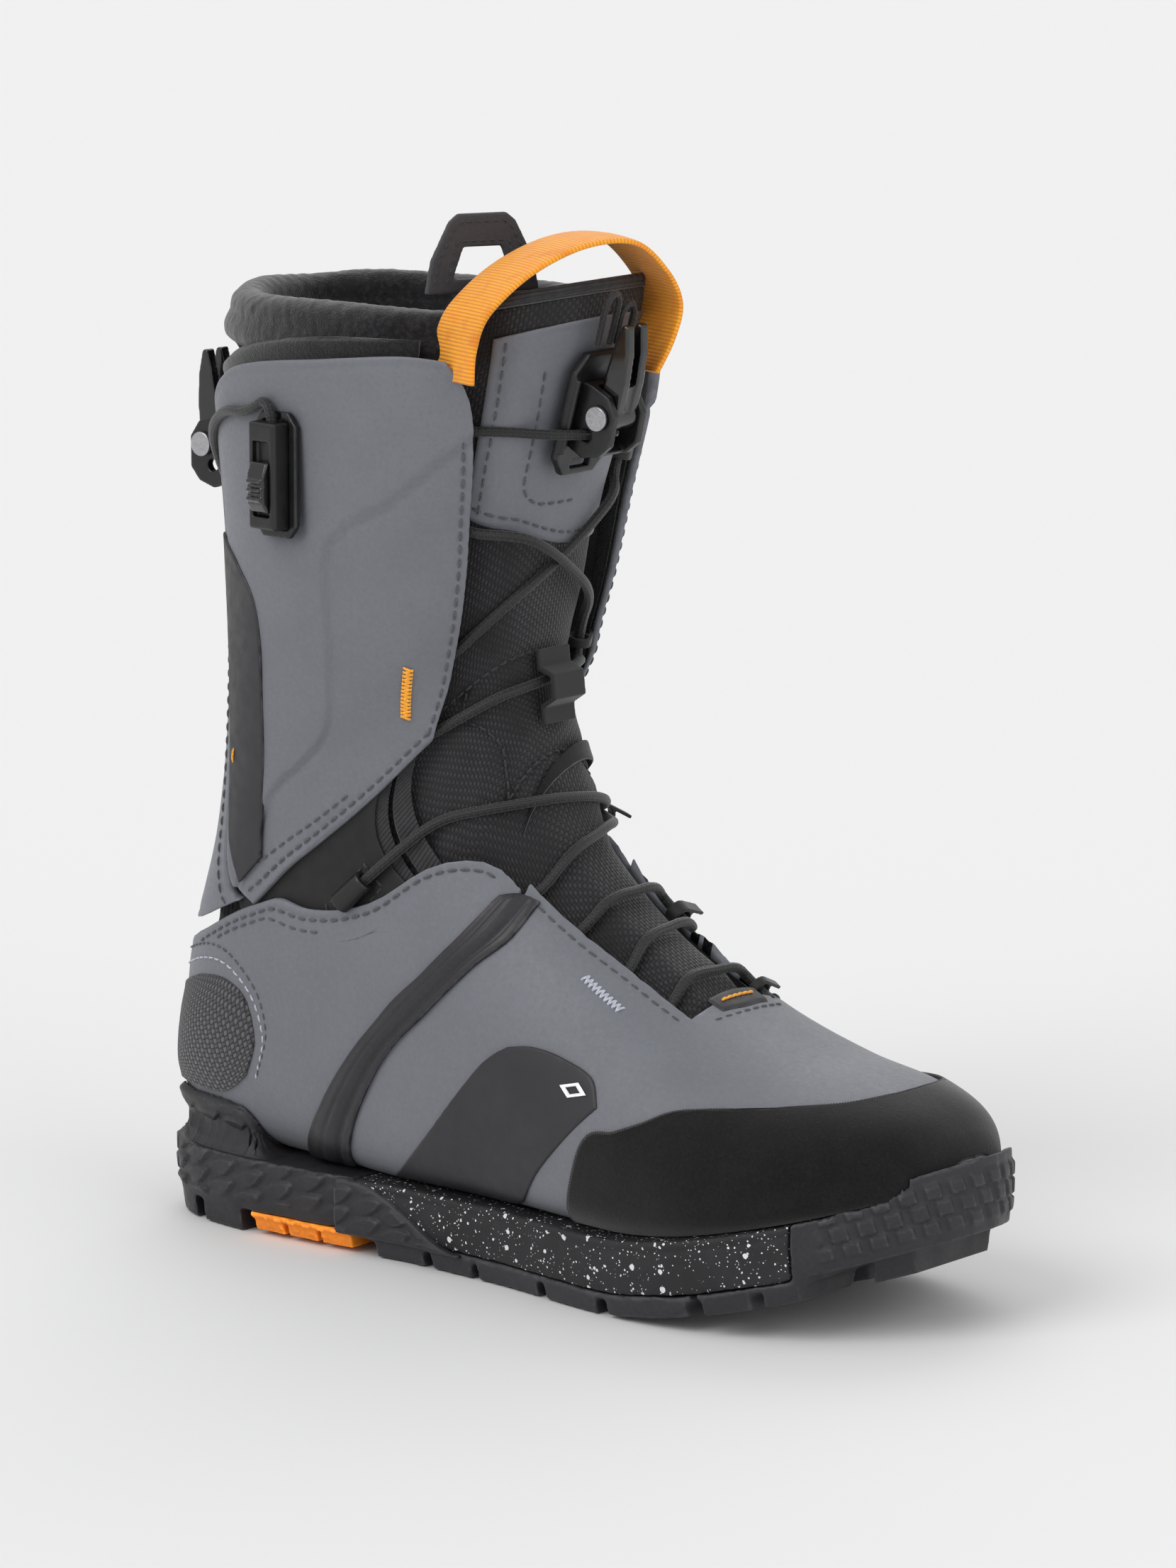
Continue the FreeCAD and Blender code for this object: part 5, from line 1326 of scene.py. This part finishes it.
def make_laces():
    first, second, third, fourth, fifth = MEDIAL_LOOPS
    lower = [boot(0.150, 8.72, 1.0), boot(0.125, 8.66, 1.0), boot(0.103, 8.60, 0.0)]
    lower += crossing(0.070, 8.5, medial_u(8.15), third[1], 9, lift=LOOP_LIFT)
    lower += crossing(lateral_u(7.3), 7.3, medial_u(third[0]), third[0], 9, lift=LOOP_LIFT)[::-1]
    lower += crossing(lateral_u(6.65), 6.65, medial_u(second[1]), second[1], 9, lift=LOOP_LIFT)
    lower += crossing(lateral_u(5.95), 5.95, medial_u(second[0]), second[0], 9, lift=LOOP_LIFT)[::-1]
    lower += crossing(lateral_u(5.45), 5.45, medial_u(first[1]), first[1], 9, lift=LOOP_LIFT)
    lower.append(over_tongue(medial_u(first[0]), first[0], LOOP_LIFT))
    tube("lower_lace", lower, LACE_RADIUS, [LACE], ("lace_lower",))
    across_top = crossing(lateral_u(13.1), 13.1, medial_u(fifth[1]), fifth[1], 9, lift=LOOP_LIFT)
    upper = across_top[:2] + [front_point(8.7, -13, -7), front_point(8.7, 13, -7)] + across_top[-2:]
    upper += crossing(lateral_u(10.4), 10.4, medial_u(fifth[0]), fifth[0], 11, lift=LOOP_LIFT)[::-1]
    upper += crossing(lateral_u(9.6), 9.6, medial_u(fourth[0]), fourth[0], 9, lift=LOOP_LIFT)
    upper += crossing(lateral_u(12.2), 12.2, medial_u(fourth[1]), fourth[1], 11, 5.2, LOOP_LIFT)[::-1]
    tube("upper_lace", upper, LACE_RADIUS, [LACE], ("lace_upper",))
    tail = [boot(0.470, 13.30, 3.4), boot(0.44, 13.55, 3.3), boot(0.40, 13.72, 3.3),
            boot(0.36, 13.80, 3.3), boot(0.325, 13.72, 3.6)]
    tail += [lock_point(LOCK_BORE_DEPTH, 0, LOCK_HALF + 9), lock_point(LOCK_BORE_DEPTH, 0, LOCK_HALF - 8)]
    tube("side_tail", tail, LACE_RADIUS, [LACE], ("lace_side_tail",))
    for k, (centre, height) in enumerate(((-4.5, 37.0), (4.5, 33.0))):
        loop = [front_point(4.6, centre - 3.0, 21.5), front_point(4.6, centre - 3.2, 29),
                front_point(4.6, centre - 3.2, height - 1), front_point(4.8, centre, height + 2.5),
                front_point(4.6, centre + 3.2, height - 1), front_point(4.6, centre + 3.2, 29),
                front_point(4.6, centre + 3.0, 21.5)]
        replaces = ("front_cord_loops",) if k == 0 else ()
        tube("cord_loop_%d" % (k + 1), loop, 1.1, [LACE], replaces, sides=12, step=0.7)


# ---------------------------------------------------------------- moulded and softened parts
WEB_LOW = 15.0


def soften(name, node, materials, voxel, passes=4, body="boot", detail=None, fill=0.0):
    """Rounded-edge copy of a CAD piece, remeshed finely and relaxed, its hollows filled to a radius."""
    mesh = NODES[node].data.copy()
    mesh.materials.clear()
    carrier = bpy.data.objects.new(name + "_work", mesh)
    bpy.context.scene.collection.objects.link(carrier)
    weld = carrier.modifiers.new("weld", "WELD")
    weld.merge_threshold = 1e-6
    for strength in (0, fill, -fill - 0.25) if fill else (0,):
        if strength:
            swell = carrier.modifiers.new("swell", "DISPLACE")
            swell.strength = strength * MM
            swell.mid_level = 0
        if strength >= 0:
            remesh = carrier.modifiers.new("remesh", "REMESH")
            remesh.mode = "VOXEL"
            remesh.voxel_size = voxel * MM
            remesh.use_smooth_shade = True
    relax = carrier.modifiers.new("relax", "SMOOTH")
    relax.factor = 0.5
    relax.iterations = passes
    bpy.context.view_layer.update()
    result = bpy.data.meshes.new_from_object(carrier.evaluated_get(bpy.context.evaluated_depsgraph_get()))
    bpy.data.objects.remove(carrier)
    if detail is not None:
        count = len(result.vertices)
        points = np.empty(count * 3)
        normals = np.empty(count * 3)
        result.vertices.foreach_get("co", points)
        result.vertices.foreach_get("normal", normals)
        points = points.reshape(-1, 3) / MM - SHIFT
        normals = normals.reshape(-1, 3)
        points = points + normals * detail(points, normals)[:, None]
        if fill:
            points[:, 2] = np.maximum(points[:, 2], WEB_LOW)
        result.vertices.foreach_set("co", ((points + SHIFT) * MM).ravel())
        result.update()
    return place_in_scene(name, result, materials, body, () if fill else (node,))


def make_moulded_parts():
    plastics = (("front_lock_plate", MATTE, "boot"), ("front_lock_body", MATTE, "boot"),
                ("front_lock_lever", GLOSS, "front_lever"), ("rear_lock_plate", MATTE, "boot"),
                ("rear_lock_body", MATTE, "boot"), ("rear_lock_lever", GLOSS, "rear_lever"),
                ("side_lock_bezel", MATTE, "boot"), ("side_lock_body", MATTE, "boot"),
                ("side_lock_thumb", GLOSS, "side_thumb"), ("ankle_lace_guide", MATTE, "boot"))
    for node, material, body in plastics:
        soften(node + "_moulded", node, [material], 0.42, 3, body)
    for node in ("front_lock_pin", "rear_lock_pin"):
        NODES[node].data.materials.clear()
        NODES[node].data.materials.append(STEEL)
    soften("medial_loops_webbing", "lace_loops_medial", [TAPE], 0.27, 3)
    soften("lace_keeper_webbing", "tongue_lace_keeper", [TAPE], 0.35, 4)


def scale_height(along, up):
    """Height of overlapping lens-shaped scales in mm."""
    row = np.floor(up / 6.4)
    x = along / 17.0 + 0.5 * np.mod(row, 2) + 0.16 * row
    x = (x - np.floor(x)) * 2 - 1
    y = (up / 6.4 - row) * 2 - 1
    lens = 1 - np.abs(x) ** 1.7 - np.abs(y * (1 + 0.25 * x)) ** 1.8
    return smooth(0.0, 0.22, lens) * (0.55 + 0.5 * x)


def heel_relief(points, normals):
    x, y, z = points.T
    sideways = smooth(0.55, 0.85, np.abs(normals[:, 1]))
    behind = smooth(0.55, 0.85, -normals[:, 0])
    along = np.where(sideways > behind, x + 0.7 * z, np.abs(y) - 150 + 0.7 * z)
    inside = smooth(9.0, 11.0, z) * smooth(39.0, 36.0, z) * smooth(-62.0, -70.0, x)
    inside = inside * (1 - smooth(13.0, 10.5, z) * smooth(-112, -108, x) * smooth(-60, -64, x))
    return 1.5 * scale_height(along, z - 0.35 * (x + 150)) * np.maximum(sideways, behind) * inside


def toe_relief(points, normals):
    x, y, z = points.T
    outward = 1 - smooth(0.35, 0.75, np.abs(normals[:, 2]))
    around = np.where(x > 118, np.arctan2(y, np.maximum(x - 90, 1)) * 62, 0)
    height = z - spring(x)
    row = np.floor((height - 10) / 6.0)
    cell = around / 8.5 + 0.5 * row
    cell = (cell - np.floor(cell)) * 2 - 1
    block = smooth(0.75, 0.55, np.abs(cell + 0.45 * ((height - 10) / 6.0 - row - 0.5)))
    block = block * smooth(0.92, 0.75, np.abs(((height - 10) / 6.0 - row) * 2 - 1))
    inside = smooth(10.5, 12, height) * smooth(28.0, 26.0, height) * smooth(124, 128, x)
    return 1.0 * block * outward * inside


def shank_relief(points, normals):
    x, y, z = points.T
    outward = smooth(0.6, 0.9, np.abs(normals[:, 1]))
    bar = np.abs(((x + 104) / 6.2 - np.floor((x + 104) / 6.2)) * 2 - 1 + 0.14 * (z - 5))
    inside = smooth(-101, -100, x) * smooth(-70, -71, x) * smooth(2.6, 3.2, z) * smooth(6.9, 6.3, z)
    return 0.5 * smooth(0.55, 0.40, bar) * outward * inside


def foam_relief(points, normals):
    x, y, z = points.T
    outward = smooth(0.5, 0.9, np.abs(normals[:, 1]))
    height = z - spring(x)
    lip = 0.35 * bell(height - 23.4, 0.9) - 0.30 * bell(height - 21.6, 0.7)
    return outward * lip + 0.08 * ripple(points, 7.0, 4)


def make_heel_wings():
    """The heel rubber sweeps forward and down over the side of the midsole."""
    for side in (-1, 1):
        x = np.linspace(-68.0, -16.0, 80)
        share = (x - x[0]) / (x[-1] - x[0])
        high = 24.6 - 17.5 * smooth(0.12, 1.0, share) + np.array([spring(v) for v in x])
        low = 6.2 + np.array([spring(v) for v in x])
        across = np.linspace(0, 1, 30)
        z = low[:, None] + (high - low)[:, None] * across[None, :]
        y = np.interp(x, OUTLINE[:, 0], OUTLINE[:, 1 if side < 0 else 2])
        along = np.broadcast_to(x[:, None], z.shape)
        depth = np.minimum(np.minimum(z - low[:, None], high[:, None] - z), (x[-1] - x)[:, None])
        lip = 1.5 - edge_drop(depth, 1.6, 1.5)
        scales = 1.3 * scale_height(along + 0.7 * z, z - 0.35 * (along + 150)) * smooth(1.2, 2.4, depth)
        outer = np.stack((along, side * (y[:, None] + 0.1 + lip + scales), z), -1)
        inner = np.stack((along, side * np.broadcast_to(y[:, None] - 1.2, z.shape), z), -1)
        points, faces, _, _ = closed_grid(outer, inner)
        name = "heel_wing_" + ("lateral" if side < 0 else "medial")
        make_piece(name, points, faces, [RUBBER])


def plain_relief(points, normals):
    """Barely uneven, as moulded rubber is."""
    return 0.06 * ripple(points, 9.0, 3)


def make_heel_web():
    """Rubber that joins the heel block to the cup above it, its foot hidden inside the block."""
    soften("heel_web", "outsole_heel", [RUBBER], 1.1, 4, detail=plain_relief, fill=6.0)


def make_sole():
    soften("heel_rubber", "outsole_heel", [RUBBER], 0.75, 2, detail=heel_relief)
    make_heel_web()
    make_heel_wings()
    soften("toe_rubber", "outsole_toe", [RUBBER], 0.75, 2, detail=toe_relief)
    soften("forefoot_rubber", "outsole_forefoot", [LUG_RUBBER], 0.9, 2)
    soften("shank_rubber", "shank_insert", [ORANGE], 0.6, 2, detail=shank_relief)
    soften("midsole_foam", "midsole", [FOAM], 0.9, 2, detail=foam_relief)
    for node in ("lasting_board", "footbed", "heel_counter"):
        NODES[node].data.materials.clear()
        NODES[node].data.materials.append(BOARD)


# ---------------------------------------------------------------- straps
def strap(name, points, width, thickness, place, materials, node, slot, edge=None):
    """Flat webbing swept along a line in Y and Z, with soft edges, its width along X."""
    line = smooth_line(points, 120)
    along = unit(np.gradient(line, axis=0))
    out = np.stack((along[:, 1], -along[:, 0]), -1)
    half = width / 2
    t = np.array((-1.0, -0.985, -0.94, -0.8, -0.5, 0.0, 0.5, 0.8, 0.94, 0.985, 1.0))
    fat = thickness / 2 * np.array((0.35, 0.75, 1.0, 1.0, 0.92, 0.9, 0.92, 1.0, 1.0, 0.75, 0.35))
    section = np.concatenate((np.stack((t * half, fat), -1), np.stack((t[::-1] * half, -fat), -1)))
    reach = np.concatenate(([0], np.cumsum(np.linalg.norm(np.diff(line, axis=0), axis=1))))
    points3 = np.empty((len(line), len(section), 3))
    points3[..., 0] = section[:, 0]
    points3[..., 1] = line[:, 0][:, None] + out[:, 0][:, None] * section[:, 1]
    points3[..., 2] = line[:, 1][:, None] + out[:, 1][:, None] * section[:, 1]
    if edge is not None:
        points3 = points3 + edge(points3, reach)
    flat = points3.reshape(-1, 3)
    turn, shift = place
    flat = flat @ np.array(Matrix.Rotation(math.radians(turn), 3, "Z")).T + np.array(shift)
    n = len(line)
    k = len(section)
    a = np.arange(n * k).reshape(n, k)
    b = np.roll(a, -1, axis=1)
    faces = np.stack((a[:-1], b[:-1], b[1:], a[1:]), -1).reshape(-1, 4).tolist()
    faces.append(a[0].tolist())
    faces.append(a[-1][::-1].tolist())
    uv = np.stack(np.broadcast_arrays(section[:, 0], reach[:, None]), -1)
    return make_piece(name, flat, faces, materials, (node,), uv.reshape(-1, 2))


def make_straps():
    def lean(points, reach):
        """The top of the loop tips a little and its edges wave."""
        high = smooth(300, 329, points[..., 2])
        foot = smooth(316, 293, points[..., 2]) * (points[..., 1] < 0)
        moved = np.zeros_like(points)
        moved[..., 2] = -0.9 * high * np.abs(points[..., 0] / 12.5) ** 2
        moved[..., 0] = 0.5 * np.sin(points[..., 1] * 0.11) - 9.0 * foot
        moved[..., 1] = 5.0 * foot
        return moved

    strap("pull_webbing", [(-39, 286), (-38, 297), (-33, 309), (-18, 321), (2, 329), (20, 329), (32, 319),
                           (37, 308), (34, 297), (28, 287)], 25.0, 1.7, (-21.0, (2.0, -17.2, 0)), [STRAP],
          "pull_strap", "orange_webbing", edge=lean)
    strap("rear_loop_webbing", [(-1.0, 262), (2.0, 270), (7.0, 278), (13.0, 286), (9.0, 291.5), (-1.0, 291),
                                (-9.5, 286)], 20.0, 1.7, (90.0, (-139.2, 16.0, 0)), [TAPE],
          "rear_pull_loop", "black_webbing")
    soften("liner_tab_leather", "liner_pull_tab", [TAB], 0.45, 4)
    turn = np.array(Matrix.Rotation(math.radians(-30.0), 3, "Z"))
    outline = np.array([(-16.6, 314), (-14.6, 322), (-9.6, 332.2), (-7.0, 334.0), (7.0, 334.0), (9.6, 332.2),
                        (14.6, 322), (16.6, 314)])
    window = np.array([(-12.2, 314), (-8.6, 327.9), (8.6, 327.9), (12.2, 314)])
    for line in (outline, window):
        for face in (-1, 1):
            points = np.stack((np.full(len(line), face * 1.22), line[:, 0], line[:, 1]), -1)
            placed = points @ turn.T + np.array((-24.0, -24.0, 0))
            free_stitches(placed, turn @ np.array((face, 0, 0)), "black", 2.9, 2.2, 0.30)


# ---------------------------------------------------------------- liner
def liner_relief(points, normals):
    x, y, z = points.T
    band = 1.1 * bell(z - 268, 10) - 1.0 * bell(z - 286, 1.6) - 0.8 * bell(z - 250, 1.6)
    return band * smooth(200, 240, z) + 0.35 * ripple(points, 16.0, 8)


def collar_relief(points, normals):
    x, y, z = points.T
    swell = 0.5 * ripple(points, 30.0, 6) + 0.12 * ripple(points, 4.0, 7)
    return 1.6 + swell + 5.5 * smooth(0.1, 0.9, -normals[:, 2])


def make_liner():
    shell = soften("liner_shell_foam", "liner_shell", [MESH], 1.6, 3, detail=liner_relief)
    tongue = soften("liner_tongue_foam", "liner_tongue", [MESH], 1.4, 6, detail=liner_relief)
    collar = soften("liner_collar_fleece", "liner_collar", [FLEECE], 0.8, 4, detail=collar_relief)


# ---------------------------------------------------------------- thread round the fittings
def stitched_frames():
    outline = [(-12.3, -15), (-10.5, -20.5), (-6.5, -23), (6.5, -23), (10.5, -20.5), (12.3, -15), (12.3, 15),
               (10.5, 20.5), (6.5, 23), (-6.5, 23), (-10.5, 20.5), (-12.3, 15), (-12.3, -15)]
    line = resample(np.array(outline, float), 200)
    us = [locate(lock_point(0, y, z)) for y, z in line]
    stitch_line(us, 0.15, "grey", 3.6, 2.7, 0.36)
    box = [(0.118, 8.52), (0.168, 8.60), (0.172, 8.86), (0.120, 8.80), (0.118, 8.52)]
    stitch_line(resample(np.array(box), 120), -2.55, "black", 3.6, 2.7, 0.34)


def locate(point):
    """(u, s) of the boot surface straight behind a point near its side."""
    u = 0.25
    s = 13.0
    for step in range(12):
        here = boot(u, s)
        du = (boot(u + 0.002, s) - here) / 0.002
        ds = (boot(u, s + 0.02) - here) / 0.02
        across = np.stack((du, ds), -1)
        move, *rest = np.linalg.lstsq(across, point - here, rcond=None)
        u += float(np.clip(move[0], -0.03, 0.03))
        s += float(np.clip(move[1], -0.6, 0.6))
    return u, s


# ---------------------------------------------------------------- floor and light
def make_stage():
    mesh = bpy.data.meshes.new("floor")
    work = bmesh.new()
    bmesh.ops.create_grid(work, x_segments=2, y_segments=2, size=60)
    work.to_mesh(mesh)
    work.free()
    floor = bpy.data.objects.new("floor", mesh)
    bpy.context.scene.collection.objects.link(floor)
    pale = bpy.data.materials.new("floor")
    pale.use_nodes = True
    pale.node_tree.nodes["Principled BSDF"].inputs["Base Color"].default_value = (0.80, 0.80, 0.80, 1)
    pale.node_tree.nodes["Principled BSDF"].inputs["Roughness"].default_value = 0.9
    mesh.materials.append(pale)
    floor.location = (0, 0, -0.0005)
    world = bpy.data.worlds.new("studio")
    world.use_nodes = True
    world.node_tree.nodes["Background"].inputs["Color"].default_value = (1, 1, 1, 1)
    world.node_tree.nodes["Background"].inputs["Strength"].default_value = 0.66
    bpy.context.scene.world = world
    middle = Vector((0, 0, 0.15))
    suns = (("key", (-0.35, -1.5, 1.5), 40, 1.15), ("fill", (1.6, -0.2, 0.9), 50, 0.60),
            ("back", (-0.9, 1.4, 1.6), 40, 0.50))
    for name, place, spread, power in suns:
        light = bpy.data.lights.new(name, "SUN")
        light.angle = math.radians(spread)
        light.energy = power
        lamp = bpy.data.objects.new(name, light)
        bpy.context.scene.collection.objects.link(lamp)
        lamp.location = place
        lamp.rotation_mode = "QUATERNION"
        lamp.rotation_quaternion = (middle - Vector(place)).to_track_quat("-Z", "Y")
    bpy.context.scene.view_settings.view_transform = "Standard"


make_vamp()
make_toe_cap()
for part in ("lateral", "medial"):
    make_sides(part)
    make_cuff(part)
make_heel_panel()
make_spine()
make_inner_panels()
make_tongue()
make_tongue_trim()
make_laces()
make_moulded_parts()
make_sole()
make_straps()
make_liner()
stitched_frames()
make_threads(THREAD_SKINS)
make_stage()
